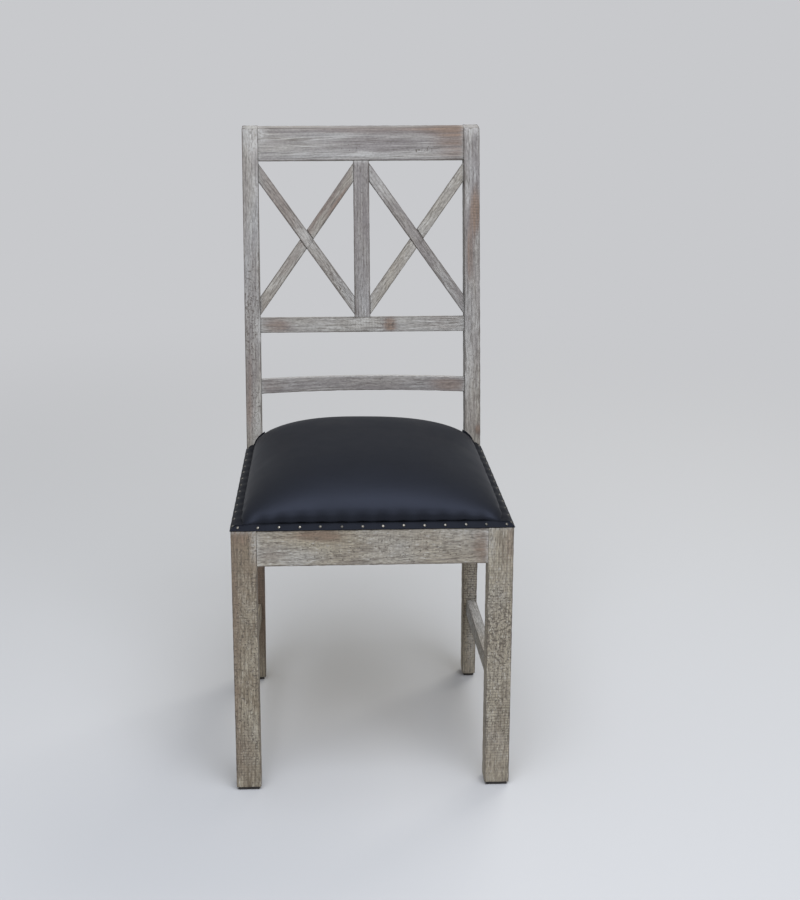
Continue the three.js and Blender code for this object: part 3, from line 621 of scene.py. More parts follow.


# Finish of each bar: tone is how much wash is left, figure how strong the grain shows, warm how tan
# the wood is, stretch how far the grain is drawn out, and pith how far the tree's heart lies from the
# middle of the section, across and through, and how it wanders per millimetre. The lists are ovals as
# in patches(): rubbed, thinly washed, stained, chalky, flecked and saw-marked places, and sealed ones
# where a neighbour covers the arris. A thin oval of negative strength adds wash; the one low on the
# right back post is painted light, a paler finish where the seat shades the post.
LOOKS = {
    "front_leg_left": {
        "seed": 11, "tone": 0.47, "figure": 0.9, "warm": 0.85, "stretch": 0.45,
        "pith": (70, 20, 0.01, 0.02),
        "rub": [(400, 4, 80, 40, 0.2), (60, -6, 50, 16, 0.3), (250, -16, 200, 8, 0.3),
                (448, -8, 16, 20, 0.4)],
        "thin": [(400, 0, 110, 60, 0.06)],
        "fleck": [(230, 4, 300, 60, 0.8)],
        "saw": [(60, 0, 60, 40, 0.8), (330, 0, 120, 40, 0.6)],
        "sealed": [(430, 20, 34, 6, 1.0)],
        "chalk": [(430, 17, 30, 5, 0.8)],
    },
    "front_leg_right": {
        "seed": 12, "tone": 0.62, "figure": 0.85, "warm": 0.65, "stretch": 0.5,
        "pith": (-60, 26, 0.02, 0.0),
        "rub": [(440, 14, 40, 8, 0.35), (60, 0, 60, 30, 0.25)],
        "thin": [(430, 6, 60, 40, 0.08)],
        "fleck": [(280, 0, 100, 60, 1.1), (120, 0, 62, 60, 0.8)],
        "saw": [(130, 0, 100, 60, 1.0), (350, 0, 90, 50, 0.6)],
        "sealed": [(430, -20, 34, 6, 1.0)],
        "chalk": [(430, -16, 30, 5, 0.6)],
    },
    "back_post_left": {
        "seed": 13, "tone": 0.53, "figure": 0.45, "pith": (60, 10, 0.015, 0.0),
        "stain": [(150, 0, 300, 90, 0.9)],
        "rub": [(545, -8, 80, 7, 0.4), (500, -6, 40, 9, 0.2), (210, 0, 150, 60, 0.8)],
        "thin": [(660, 0, 130, 40, 0.06), (510, 0, 60, 40, -0.05)],
        "sealed": [(985, 14, 40, 5, 1.0), (668, 14, 20, 5, 1.0), (562, 14, 18, 5, 1.0)],
        "chalk": [(990, 5, 30, 16, 1.0), (905, 9, 24, 6, 0.8), (660, 10, 26, 6, 0.8),
                  (500, 4, 60, 12, 0.5)],
        "fleck": [(680, -4, 120, 18, 0.92), (520, 0, 60, 16, 0.75), (180, 0, 200, 40, 0.6)],
        "saw": [(180, 0, 120, 30, 0.6)],
    },
    "back_post_right": {
        "seed": 14, "tone": 0.47, "figure": 0.45, "stretch": 1.1, "pith": (-55, 14, 0.0, 0.02),
        "stain": [(150, 0, 300, 90, 0.8)],
        "rub": [(862, 6, 40, 8, 1.0), (790, -4, 55, 6, 0.6), (482, 11, 10, 6, 0.9),
                (300, 0, 110, 60, 0.5)],
        # Painted light: the last thin oval makes the post paler under the seat, where the seat shades
        # it.
        "thin": [(950, 0, 70, 40, 0.09), (510, 0, 80, 40, -0.06), (300, 0, 150, 40, -0.35)],
        "sealed": [(985, -14, 40, 5, 1.0), (668, -14, 20, 5, 1.0), (562, -14, 18, 5, 1.0)],
        "chalk": [(1004, 0, 14, 20, 0.8), (890, -8, 24, 6, 0.7), (600, -6, 40, 9, 0.6),
                  (120, 4, 100, 10, 0.9)],
        "fleck": [(560, 0, 120, 16, 0.4), (960, 0, 40, 14, 0.3), (150, 0, 120, 40, 1.0)],
        "saw": [(860, 6, 45, 9, 1.2), (180, 0, 140, 30, 1.2)],
    },
    "crest_rail": {
        "seed": 15, "tone": 0.5, "figure": 0.75, "stretch": 2.6, "pith": (-8, 34, 0.02, 0.012),
        "rub": [(350, 6, 44, 34, 0.5), (200, 22, 130, 6, 0.3), (330, 23, 60, 9, 0.35)],
        "thin": [(200, -2, 90, 14, 0.2), (290, -10, 50, 10, -0.1)],
        "chalk": [(184, -20, 26, 6, 0.7), (8, 14, 10, 14, 0.8)],
        "fleck": [(294, -14, 34, 6, 0.9), (190, -6, 60, 12, 0.5)],
    },
    "lattice_rail": {
        "seed": 16, "tone": 0.63, "figure": 0.42, "stretch": 1.4, "pith": (40, 22, 0.0, 0.02),
        "rub": [(28, 0, 26, 18, 0.5), (229, 0, 13, 16, 0.75), (325, 4, 40, 14, 0.3)],
        "chalk": [(184, 6, 24, 8, 0.8)],
        "fleck": [(229, 0, 14, 16, 0.8)],
        "saw": [(190, 0, 50, 16, 0.4)],
    },
    "lumbar_rail": {
        "seed": 17, "tone": 0.43, "figure": 0.5, "stretch": 1.4, "pith": (30, 26, 0.01, 0.02),
        "rub": [(18, 0, 26, 16, 0.2), (335, 0, 38, 16, 0.45)],
        "sealed": [(184, 13, 300, 5, 1.0)],
        "chalk": [(184, 14, 300, 2.0, 1.2)],
        "fleck": [(150, 0, 120, 12, 0.4)],
    },
    "centre_stile": {
        "seed": 18, "tone": 0.36, "figure": 0.5, "pith": (75, 8, 0.0, 0.01),
        "fleck": [(150, 0, 150, 18, 0.4)],
    },
    "front_seat_rail": {
        "seed": 19, "tone": 0.58, "figure": 0.7, "warm": 0.4, "stretch": 0.6,
        "pith": (-4, 30, 0.0, 0.04),
        "rub": [(95, 18, 56, 10, 0.7), (20, -10, 25, 18, 0.3), (358, 0, 16, 40, 0.5)],
        "stain": [(95, 14, 80, 20, 0.5)],
        "fleck": [(190, -4, 220, 40, 0.62)],
        "saw": [(180, 10, 160, 30, 0.35)],
    },
    "back_seat_rail": {
        "seed": 20, "tone": 0.55, "warm": 0.3, "stretch": 1.5, "pith": (10, 40, 0.0, 0.05),
    },
    "side_seat_rail_left": {"seed": 21, "tone": 0.55, "warm": 0.3, "pith": (8, 32, 0.0, 0.07)},
    "side_seat_rail_right": {"seed": 22, "tone": 0.55, "warm": 0.3, "pith": (-6, 36, 0.0, 0.06)},
    "side_stretcher_left": {"seed": 23, "tone": 0.36, "warm": 0.8, "pith": (30, 20, 0.0, 0.02)},
    "side_stretcher_right": {"seed": 24, "tone": 0.85, "figure": 0.6, "pith": (34, 20, 0.0, 0.02)},
    "falling_cross_bar_left": {
        "seed": 25, "tone": 0.45, "figure": 0.35, "warm": 0.15, "pith": (24, 18, 0.0, 0.02),
        "rub": [(70, 0, 55, 14, 0.35)],
        "fleck": [(235, -2, 50, 10, 0.8)],
        "chalk": [(140, 0, 26, 10, 0.6)],
    },
    "falling_cross_bar_right": {
        "seed": 26, "tone": 0.44, "figure": 0.4, "pith": (-26, 16, 0.0, 0.02),
        "fleck": [(230, -2, 70, 10, 0.6)],
        "chalk": [(30, 0, 30, 10, 0.5)],
    },
    "rising_cross_bar_left": {
        "seed": 27, "tone": 0.52, "figure": 0.4, "warm": 0.2, "pith": (28, 20, 0.0, 0.02),
        "rub": [(195, 6, 60, 4, 0.5), (222, -6, 40, 4, 0.5), (150, 2, 30, 3, 0.35),
                (90, 0, 30, 12, 0.2)],
    },
    "rising_cross_bar_right": {
        "seed": 28, "tone": 0.62, "figure": 0.3, "warm": 0.15, "pith": (-22, 22, 0.0, 0.02),
    },
}


# Legs and posts

def bevelled_top(x, y):
    """Top of the seat frame: level, but for the bevel that falls away to the front and the sides."""
    inward = np.minimum(y - FRONT, side_line(y) - np.abs(x))
    return SEAT_TOP - BEVEL_DROP * np.clip(1 - inward / BEVEL_RUN, 0, 1)


def front_leg(name, side):
    """A square leg: its section carried up from the foot, and stretched to end on the bevelled top."""
    half_x, half_y = (LEG_HIGH - LEG_LOW)[:2] / 2
    middle_x, middle_y = ((LEG_HIGH + LEG_LOW) / 2)[:2]
    foot, length = LEG_LOW[2], SEAT_TOP - LEG_LOW[2]

    def place(along, across, through):
        x, y = side * middle_x + across, middle_y + through
        return np.stack([x, y, foot + along * (bevelled_top(x, y) - foot) / length], axis=-1)

    corners = rectangle(-half_x, half_x, -half_y, half_y)
    wooden_bar(name, corners, length, place, rounds=(FREE_ROUND, JOINT_ROUND))


def post_front(z):
    """Front face of a post by height: splayed below the rails, upright to the bend, then raked.

    The bend is a parabola that leaves the upright part and ends on the raked line.
    """
    foot = POST_LOW[2]
    splay = FOOT_SPLAY * np.clip((RAIL_BOTTOM - z) / (RAIL_BOTTOM - foot), 0, 1)
    slope = LEAN / (TOP - BEND)
    bent = np.clip((z - BEND) / BEND_LENGTH + 0.5, 0, 1)
    straight = np.maximum(z - BEND - BEND_LENGTH / 2, 0)
    return POST_FRONT + splay + slope * (BEND_LENGTH / 2 * bent ** 2 + straight)


def back_post(name, side):
    """A post of level sections: tapered to the foot below the rails, and bent back above the seat."""
    foot, length = POST_LOW[2], TOP - POST_LOW[2]
    middle_x = side * (POST_LOW[0] + POST_HIGH[0]) / 2
    width = POST_HIGH[0] - POST_LOW[0]

    def place(along, across, through):
        z = foot + along
        taper = np.clip((RAIL_BOTTOM - z) / (RAIL_BOTTOM - foot), 0, 1)
        x = middle_x + across * (1 - taper * (1 - FOOT_WIDTH / width))
        depth = (through + POST_DEPTH / 2) * (1 - taper * (1 - FOOT_DEPTH / POST_DEPTH))
        return np.stack([x, post_front(z) + depth, z], axis=-1)

    corners = rectangle(-width / 2, width / 2, -POST_DEPTH / 2, POST_DEPTH / 2)
    wooden_bar(name, corners, length, place, rounds=(FREE_ROUND, FREE_ROUND))


# Seat rails and stretchers

def bevelled_section(height):
    """Corners of a seat rail as (height, inward): a board with a bevel on its top outer edge."""
    low, high = -height / 2, height / 2
    bevel = [(high - BEVEL_DROP, 0), (high, BEVEL_RUN)]
    return [(low, 0), *bevel, (high, RAIL_THICKNESS), (low, RAIL_THICKNESS)]


RAIL_HEIGHT = SEAT_TOP - RAIL_BOTTOM
RAIL_MIDDLE = (SEAT_TOP + RAIL_BOTTOM) / 2


def cross_rail(name, reach, face, direction):
    """A seat rail along X between legs or posts, from its outer face inwards."""
    length = 2 * (reach - FIT)

    def place(along, across, through):
        return np.stack([along - length / 2, face + direction * through, RAIL_MIDDLE + across], axis=-1)

    wooden_bar(name, bevelled_section(RAIL_HEIGHT), length, place)


def side_rail(name, side):
    """A seat rail along the tapered side of the seat, from the front leg to the post."""
    start = LEG_HIGH[1] + FIT
    length = POST_FRONT - FIT - start

    def place(along, across, through):
        y = start + along
        return np.stack([side * (side_line(y) - through), y, RAIL_MIDDLE + across], axis=-1)

    wooden_bar(name, bevelled_section(RAIL_HEIGHT), length, place)


def side_stretcher(name, side):
    """A bar low between front leg and post; its rear end is cut to the slope of the post's foot."""
    low, high = (corner[2] for corner in node_box(name))
    middle = (low + high) / 2
    start = LEG_HIGH[1] + FIT
    length = float(post_front(np.array(middle))) - FIT - start

    def place(along, across, through):
        z = middle + across
        y = start + along * (post_front(z) - FIT - start) / length
        inward = STRETCHER_INSET + through
        return np.stack([side * (side_line(y) - inward), y, z], axis=-1)

    corners = rectangle(low - middle, high - middle, 0, STRETCHER_THICKNESS)
    wooden_bar(name, corners, length, place)


# Back panel

def panel_rail(name, level_top=False, bow=0):
    """A rail between the posts in the raked plane.

    The crest's top is cut level, and the lumbar rail is pushed to the rear along a parabola.
    """
    (_, front, bottom), (_, back, top) = panel_box(name)
    if bow:
        back = front + LUMBAR_THICKNESS
        bottom, top = LUMBAR_SPAN
    reach = POST_LOW[0] - FIT
    middle = (bottom + top) / 2
    corners = rectangle(bottom - middle, top - middle, 0, back - front)
    if level_top:
        tops = [(TOP + depth * math.sin(RAKE)) / math.cos(RAKE) - middle for depth in (front, back)]
        corners[1:3] = [(tops[0], 0), (tops[1], back - front)]

    def place(along, across, through):
        points = from_panel(along - reach, front + through, middle + across)
        points[:, 1] += bow * (1 - ((along - reach) / reach) ** 2)
        return points

    wooden_bar(name, corners, 2 * reach, place)


def centre_stile(name):
    """The upright between the two crosses, from the lattice rail to the crest rail."""
    bottom = LATTICE_TOP + FIT
    length = CREST_BOTTOM - FIT - bottom

    def place(along, across, through):
        return from_panel(across, LATTICE_FRONT + through, bottom + along)

    corners = rectangle(-STILE_WIDTH / 2, STILE_WIDTH / 2, 0, STILE_THICKNESS)
    wooden_bar(name, corners, length, place)


def cross_bar(name, falls):
    """A diagonal bar with upright end cuts, let into the other bar by a half lap.

    Its rings lean from the upright cut at each end to the other bar's slope at the lap, where the
    section is pressed to the half that this bar keeps: the front one where it falls to the right.
    """
    (x0, front, low), (x1, back, high) = panel_box(name)
    width, height = x1 - x0, high - low
    ratio = (CROSS_WIDTH / width) ** 2
    # Half of the upright end cut h solves h = w/2 * sqrt(1 + ((height - 2h) / width)^2).
    half = np.roots([1 - ratio, ratio * height, -(CROSS_WIDTH ** 2 + ratio * height ** 2) / 4]).max()
    slope = math.atan2(height - 2 * half, width) * (-1 if falls else 1)
    length = width / math.cos(slope)
    lap = (CROSS_WIDTH / 2 + LAP_CLEARANCE) / math.sin(2 * abs(slope))
    middle_x, middle_h = (x0 + x1) / 2, (low + high) / 2
    thickness = back - front
    kept = (thickness / 2 - FIT / 2) / thickness

    def slant(along):
        cut, across_lap = math.tan(slope), -1 / math.tan(2 * slope)
        keys = [0, length / 2 - lap, length / 2 + lap, length]
        return np.interp(along, keys, [cut, across_lap, across_lap, cut])

    def place(along, across, through):
        lean = along - length / 2
        x = middle_x + lean * math.cos(slope) - across * math.sin(slope)
        h = middle_h + lean * math.sin(slope) + across * math.cos(slope)
        from_lap = np.abs(lean + across / math.tan(2 * slope))
        pressed = through * kept if falls else thickness - (thickness - through) * kept
        return from_panel(x, front + np.where(from_lap < lap, pressed, through), h)

    wall = 0.02
    breaks = [length / 2 + sign * lap + step for sign in (-1, 1) for step in (-wall, wall)]
    corners = rectangle(-CROSS_WIDTH / 2, CROSS_WIDTH / 2, 0, thickness)
    wooden_bar(name, corners, length, place, slant=slant, breaks=breaks)


cross_rail("front_seat_rail", LEG_LOW[0], FRONT, 1)
cross_rail("back_seat_rail", POST_LOW[0], BACK_RAIL_BACK, -1)
panel_rail("crest_rail", level_top=True)
panel_rail("lattice_rail")
panel_rail("lumbar_rail", bow=LUMBAR_BOW)
centre_stile("centre_stile")
for hand, side in SIDES.items():
    front_leg("front_leg_" + hand, side)
    back_post("back_post_" + hand, side)
    side_rail("side_seat_rail_" + hand, side)
    side_stretcher("side_stretcher_" + hand, side)
    cross_bar("falling_cross_bar_" + hand, True)
    cross_bar("rising_cross_bar_" + hand, False)


# Glides

def glide(name):
    """A moulded pad under a foot: a rectangle carried up a few millimetres, with rounded rims."""
    corner_radius, ring_step, rims = 2.0, 1.5, (1.2, 0.4)
    low, high = node_box(name)
    outline, outward, _ = section(rectangle(low[0], high[0], low[1], high[1]), corner_radius, STEP)
    along, inset, share = rings_along(high[2] - low[2], ring_step, rims)
    s, flat, quads, fans = swept(outline, along, share, outward * inset[:, None, None])
    points = np.column_stack([flat, low[2] + s])
    new_piece(name + "_pad", points, quads, fans, PLASTIC, (name,))


for hand in SIDES:
    glide("front_glide_" + hand)
    glide("rear_glide_" + hand)


# Nail strips and nails

BEVEL_LENGTH = math.hypot(BEVEL_RUN, BEVEL_DROP)
BEVEL_SLOPE = math.atan2(BEVEL_DROP, BEVEL_RUN)
STRIP_TOP = FIT + STRIP_THICKNESS
PAD_SIDE_INSET = 14.5  # how far the pad starts inside the frame
PAD_FRONT_INSET = 7.0
PAD_BACK_INSET = 8.5


def on_bevel(up, lift):
    """Distance inward and height of a point so far up the bevel or past it, and so far off it.

    Past the bevel it runs on over the level top, and the direction off turns from the bevel's
    normal to upright within a short bend.
    """
    bend = 2.0
    past = np.maximum(up - BEVEL_LENGTH, 0)
    low = np.minimum(up, BEVEL_LENGTH)
    lean = BEVEL_SLOPE * np.clip(1 - past / bend, 0, 1)
    inward = low * math.cos(BEVEL_SLOPE) + past - lift * np.sin(lean)
    z = SEAT_TOP - BEVEL_DROP + low * math.sin(BEVEL_SLOPE) + lift * np.cos(lean)
    return inward, z


def nail_places(length):
    """Even places along a strip, as near the pitch as a whole number of gaps allows."""
    gaps = max(1, round((length - 2 * NAIL_MARGIN) / NAIL_PITCH))
    return np.linspace(NAIL_MARGIN, length - NAIL_MARGIN, gaps + 1)


def front_strip(t, inward):
    """Along the front, mitred where the seat's sides meet it. t runs from 0 to 1."""
    reach = side_line(FRONT + inward) - inward - FIT
    return (2 * t - 1) * reach, FRONT + inward


def side_strip(side, t, inward):
    """Along a side, from the mitre at the front, or from the pad's front, to the post."""
    start = FRONT + np.minimum(inward, PAD_FRONT_INSET) + FIT
    y = start + t * (POST_FRONT - FIT - start)
    return side * (side_line(y) - inward), y


def back_strip(t, inward):
    """Along the back rail between the posts."""
    return (2 * t - 1) * (POST_LOW[0] - FIT), BACK_RAIL_BACK - inward


# The side and back strips run on under the pad as far as the posts, so no wood shows beside them.
TUCK_UNDER = 4.5  # how far a strip reaches under the pad
FRONT_WIDTH = BEVEL_LENGTH + TUCK_UNDER
SIDE_WIDTH = BEVEL_LENGTH + side_line(POST_FRONT) - POST_LOW[0] - BEVEL_RUN + TUCK_UNDER
BACK_WIDTH = BEVEL_LENGTH + BACK_RAIL_BACK - POST_FRONT - BEVEL_RUN + TUCK_UNDER
SIDE_LENGTH = POST_FRONT - FRONT
LEFT_STRIP, RIGHT_STRIP = (functools.partial(side_strip, side) for side in SIDES.values())
# Each strip's route, length and width, how far in the pad starts, the seed, and how bright its
# nails are rubbed
STRIPS = {
    "front_nail_strip": (front_strip, 2 * HALF_FRONT, FRONT_WIDTH, PAD_FRONT_INSET, 31, 1.0),
    "side_nail_strip_left": (LEFT_STRIP, SIDE_LENGTH, SIDE_WIDTH, PAD_SIDE_INSET, 32, 0.25),
    "side_nail_strip_right": (RIGHT_STRIP, SIDE_LENGTH, SIDE_WIDTH, PAD_SIDE_INSET, 33, 0.25),
    "back_nail_strip": (back_strip, 2 * POST_LOW[0], BACK_WIDTH, PAD_BACK_INSET, 34, 0.5),
}


def nail_strip(name, route, length, width, nails):
    """A band of leather on the bevel: its section carried along the edge of the seat.

    Between nails it bulges off the bevel by a raised cosine, most at its upper edge, and at each
    nail it is pressed down.
    """
    pucker, pucker_cap, pucker_draw = 0.8, 1.8, 0.4
    edge_radius, point_step, ring_step = 0.6, 1.6, 3.0
    outline, _, _ = section(rectangle(0, width, FIT, STRIP_TOP), edge_radius, point_step)
    along, _, share = rings_along(length, ring_step, (JOINT_ROUND, JOINT_ROUND))
    s, flat, quads, fans = swept(outline, along, share)
    gap = nails[1] - nails[0]
    bulge = 0.5 - 0.5 * np.cos(2 * math.pi * (s - nails[0]) / gap)
    up, lift = flat.T
    lift = lift + pucker * bulge * np.minimum(up / BEVEL_LENGTH, pucker_cap)
    inward, z = on_bevel(up - pucker_draw * bulge, lift)
    points = np.column_stack([*route(s / length, inward), z])
    new_piece(name + "_leather", points, quads, fans, STRIP_LEATHER, (name,))


def nail_heads(name, route, length, nails, seed, bright):
    """Domed heads: a quarter ellipse turned about each nail's own axis, square to the bevel."""
    sides, rings = 14, 6
    stray_up, stray_along, sunk, rim = 0.5, 0.9, 0.6, 0.6
    half_polish = 0.45
    random = np.random.default_rng(seed)
    stray = random.uniform(-1, 1, (3, len(nails)))
    up = BEVEL_LENGTH / 2 + stray_up * stray[0]
    share = (nails + stray_along * stray[1]) / length
    (inward, z), (inward_off, z_off) = on_bevel(up, STRIP_TOP), on_bevel(up, STRIP_TOP + 1)
    spot = np.column_stack([*route(share, inward), z])
    axis = np.column_stack([*route(share, inward_off), z_off]) - spot
    axis /= np.linalg.norm(axis, axis=1, keepdims=True)
    leaning = [0.3, 0.2, 1.0]  # along no nail's axis
    first = np.cross(axis, leaning)
    first /= np.linalg.norm(first, axis=1, keepdims=True)
    second = np.cross(axis, first)
    angle = np.linspace(0, 2 * math.pi, sides, endpoint=False)
    lift = np.linspace(0, math.pi / 2, rings + 1)[:-1]
    radius = np.concatenate([[NAIL_RADIUS * rim, NAIL_RADIUS], NAIL_RADIUS * np.cos(lift[1:])])
    height = np.concatenate([[-sunk, 0.0], NAIL_DOME * np.sin(lift[1:])])
    turn = np.cos(angle)[:, None, None] * first + np.sin(angle)[:, None, None] * second
    turn = turn.transpose(1, 0, 2)
    shell = spot[:, None, None] + radius[:, None, None] * turn[:, None] \
        + height[:, None, None] * axis[:, None, None]
    poles = spot[:, None] + np.array([-sunk, NAIL_DOME])[:, None] * axis[:, None]
    points = np.concatenate([shell.reshape(len(nails), -1, 3), poles], axis=1)
    quads, fans = tube_faces(len(radius), sides)
    shift = (np.arange(len(nails)) * points.shape[1])[:, None, None]
    polish = np.repeat(bright * (half_polish + half_polish * stray[2]), points.shape[1])
    new_piece(name.replace("strip", "heads"), points.reshape(-1, 3), (quads + shift).reshape(-1, 4),
              (fans + shift).reshape(-1, 3), BRASS, attributes={"polish": polish})


held_points = []
for strip, (route, length, width, inset, seed, bright) in STRIPS.items():
    nails = nail_places(length)
    nail_strip(strip, route, length, width, nails)
    nail_heads(strip, route, length, nails, seed, bright)
    held_points.append(np.column_stack(route(nails / length, np.full(len(nails), inset))))
HELD_POINTS = np.concatenate(held_points)


# Padded seat

PAD_HEM = 4  # upright edge below the crown
PAD_RISE = 77
PAD_LIFT = 0.5
PAD_BOTTOM = SEAT_TOP + PAD_LIFT
PAD_FULLER = 0.06  # on the left
PAD_ARCHES = ((2.6, 0.55), (3, 0.48))  # powers of the arch across and of the one along
NOTCH_GAP = 4.5  # between the pad and a post
PAD_FRONT, PAD_BACK = FRONT + PAD_FRONT_INSET, BACK_RAIL_BACK - PAD_BACK_INSET
NOTCH_X, NOTCH_Y = POST_LOW[0] - NOTCH_GAP, POST_FRONT - NOTCH_GAP


def pad_outline(step):
    """Plan of the seat: the frame inside its bevel, notched round the posts, in even steps."""
    right = np.array([
        (side_line(PAD_FRONT) - PAD_SIDE_INSET, PAD_FRONT),
        (side_line(NOTCH_Y) - PAD_SIDE_INSET, NOTCH_Y),
        (NOTCH_X, NOTCH_Y),
        (NOTCH_X, PAD_BACK),
    ])
    corners = np.concatenate([right, (right * [-1, 1])[::-1]])
    closed = np.concatenate([corners, corners[:1]])
    lengths = np.concatenate([[0], np.cumsum(np.linalg.norm(np.diff(closed, axis=0), axis=1))])
    count = round(lengths[-1] / step)
    places = np.union1d(np.linspace(0, lengths[-1], count, endpoint=False), lengths[:-1])
    return np.column_stack([np.interp(places, lengths, closed[:, axis]) for axis in (0, 1)])


def pad_dome(x, y, rise):
    """Height of the padding: a round arch across the seat times a flatter one from front to back.

    It is packed a little fuller on the left.
    """
    across = np.clip(np.abs(x) / (side_line(y) - PAD_SIDE_INSET), 0, 1)
    along = np.clip(np.abs(2 * (y - PAD_FRONT) / (PAD_BACK - PAD_FRONT) - 1), 0, 1)
    fuller = 1 - PAD_FULLER * x / side_line(y)
    (flat_across, round_across), (flat_along, round_along) = PAD_ARCHES
    arch_across = (1 - across ** flat_across) ** round_across
    return rise * fuller * arch_across * (1 - along ** flat_along) ** round_along


def pad_crown(x, y, rise):
    """The padding's height, less a roll down over a quarter circle round each post."""
    tuck = 11.0
    beside = np.maximum(NOTCH_X - np.abs(x), 0)
    before = np.maximum(NOTCH_Y - y, 0)
    from_notch = np.minimum(np.hypot(beside, before) / tuck, 1)
    roll = tuck * (1 - np.sqrt(1 - (1 - from_notch) ** 2))
    return np.maximum(pad_dome(x, y, rise) - roll, 0)


def pad_form(rise, full=1.0, hem=PAD_HEM):
    """Closed pillow: rings of the plan from the middle out over the crown, then in again below.

    The rings close up towards the rim by a sine, the hem is the upright step there, and the
    underside is flat. full is its share of the plan's size.
    """
    point_step, rings, first_angle = 4.0, 46, 0.02
    plan = pad_outline(point_step)
    middle = np.array([0.0, plan[:, 1].mean()])
    share = full * np.sin(np.linspace(first_angle, math.pi / 2, rings))
    top = middle + share[:, None, None] * (plan - middle)
    top_z = PAD_BOTTOM + hem + pad_crown(top[..., 0], top[..., 1], rise)
    under = top[::-3]
    x_y = np.concatenate([top.reshape(-1, 2), under.reshape(-1, 2), [middle, middle]])
    peak = PAD_BOTTOM + hem + pad_crown(*middle, rise)
    z = np.concatenate([top_z.ravel(), np.full(under.shape[0] * under.shape[1], PAD_BOTTOM),
                        [peak, PAD_BOTTOM]])
    quads, fans = tube_faces(len(top) + len(under), len(plan))
    return np.column_stack([x_y, z]), quads, fans


def applied(piece):
    """The mesh of a piece with its modifiers worked in."""
    graph = bpy.context.evaluated_depsgraph_get()
    return bpy.data.meshes.new_from_object(piece.evaluated_get(graph))


FOAM_DROP = 14.0  # how far the foam's crown lies under the leather's
FOAM_FULL = 0.94
FOAM_HEM = 0.5
SIM_VOXEL = 5.0
SIM_FRAMES = 20
SIM_CAP = 6.0  # most that the leather swells
SIM_DEFLATED = 4.0  # how much lower the pillow starts
HELD_MARGIN = 1.0  # how far above the hem the nails still hold it
EASE_ROUNDS = 30
PULL_DEPTH = 2.6  # hollow above each nail
PULL_WIDTH = 8.5
PULL_HEIGHT = 12.0
FLAT_DROP = 4.5  # sinking at the front corners, and how far it reaches
FLAT_LEFT = 45.0
FLAT_RIGHT = 24.0
FLAT_BACK = 16.0
FLAT_HEIGHT = 12.0


def foam_block():
    """The foam under the leather: the same pillow, a little smaller all round."""
    points, quads, fans = pad_form(PAD_RISE - FOAM_DROP, FOAM_FULL, FOAM_HEM)
    new_piece("seat_foam_block", points, quads, fans, FOAM, ("seat_foam",))


def eased(mesh, values):
    """Values on a mesh's vertices, each replaced a few times by the mean of its neighbours."""
    ends = np.empty(len(mesh.edges) * 2, np.int32)
    mesh.edges.foreach_get("vertices", ends)
    first, second = ends.reshape(-1, 2).T
    degree = np.bincount(ends, minlength=len(values))
    for _ in range(EASE_ROUNDS):
        total = np.bincount(first, values[second], len(values))
        total = total + np.bincount(second, values[first], len(values))
        values = total / degree
    return values


def nail_pull(points):
    """How far the nails draw the leather in: a soft hollow over the hem above each nail.

    It falls off as a bell curve with the distance from the nail in plan and with the height.
    """
    apart = np.linalg.norm(points[:, None, :2] - HELD_POINTS, axis=2).min(axis=1)
    above = points[:, 2] - PAD_BOTTOM - PAD_HEM
    return PULL_DEPTH * np.exp(-(apart / PULL_WIDTH) ** 2 - (above / PULL_HEIGHT) ** 2)


def corner_drop(points):
    """How far the leather sinks onto the strip at the front corners, where the hem runs out flat.

    It falls off as a bell curve along the hem, back from it and up from it.
    """
    x, y, z = points.T
    from_corner = side_line(PAD_FRONT) - PAD_SIDE_INSET - np.abs(x)
    flat = np.where(x < 0, FLAT_LEFT, FLAT_RIGHT)
    spread = (from_corner / flat) ** 2 + ((y - PAD_FRONT) / FLAT_BACK) ** 2
    return FLAT_DROP * np.exp(-spread - ((z - PAD_BOTTOM - PAD_HEM) / FLAT_HEIGHT) ** 2)


def set_points(mesh, points):
    """Moves a mesh's vertices to points in millimetres."""
    mesh.vertices.foreach_set("co", (points * MM).astype(np.float32).ravel())
    mesh.update()


def padded_seat():
    """The leather pad: a slightly slack pillow, meshed evenly, then blown up against its nailed hem."""
    points, quads, fans = pad_form(PAD_RISE - SIM_DEFLATED)
    pad = new_piece("seat_pad", points, quads, fans, LEATHER, ("seat_leather",))
    remesh = pad.modifiers.new("even_mesh", "REMESH")
    remesh.mode = "VOXEL"
    remesh.voxel_size = SIM_VOXEL * MM
    pad.data = applied(pad)
    pad.modifiers.clear()
    rest = mesh_points(pad.data)
    held = pad.vertex_groups.new(name="hem")
    low = np.flatnonzero(rest[:, 2] < PAD_BOTTOM + PAD_HEM + HELD_MARGIN)
    held.add(low.tolist(), 1.0, "REPLACE")
    cloth = pad.modifiers.new("inflate", "CLOTH").settings
    cloth.vertex_group_mass = "hem"
    cloth.use_pressure = True
    cloth.uniform_pressure_force = 4.0
    cloth.effector_weights.gravity = 0.0
    cloth.tension_stiffness = 25
    cloth.compression_stiffness = 25
    cloth.bending_stiffness = 3
    scene = bpy.context.scene
    for step in range(1, SIM_FRAMES + 1):
        scene.frame_set(step)
    moved = mesh_points(applied(pad)) - rest
    pad.modifiers.clear()
    scene.frame_set(1)
    outward = vertex_rows(pad.data, "normal")
    swell = np.clip((moved * outward).sum(axis=1), 0, SIM_CAP)
    rest = rest + eased(pad.data, swell)[:, None] * outward
    set_points(pad.data, rest)
    drawn = rest - nail_pull(rest)[:, None] * vertex_rows(pad.data, "normal")
    drawn[:, 2] = np.maximum(drawn[:, 2] - corner_drop(rest), PAD_BOTTOM)
    set_points(pad.data, drawn)
    pad.data.shade_smooth()
    smooth = pad.modifiers.new("smooth", "SUBSURF")
    smooth.levels = 1
    smooth.render_levels = 1


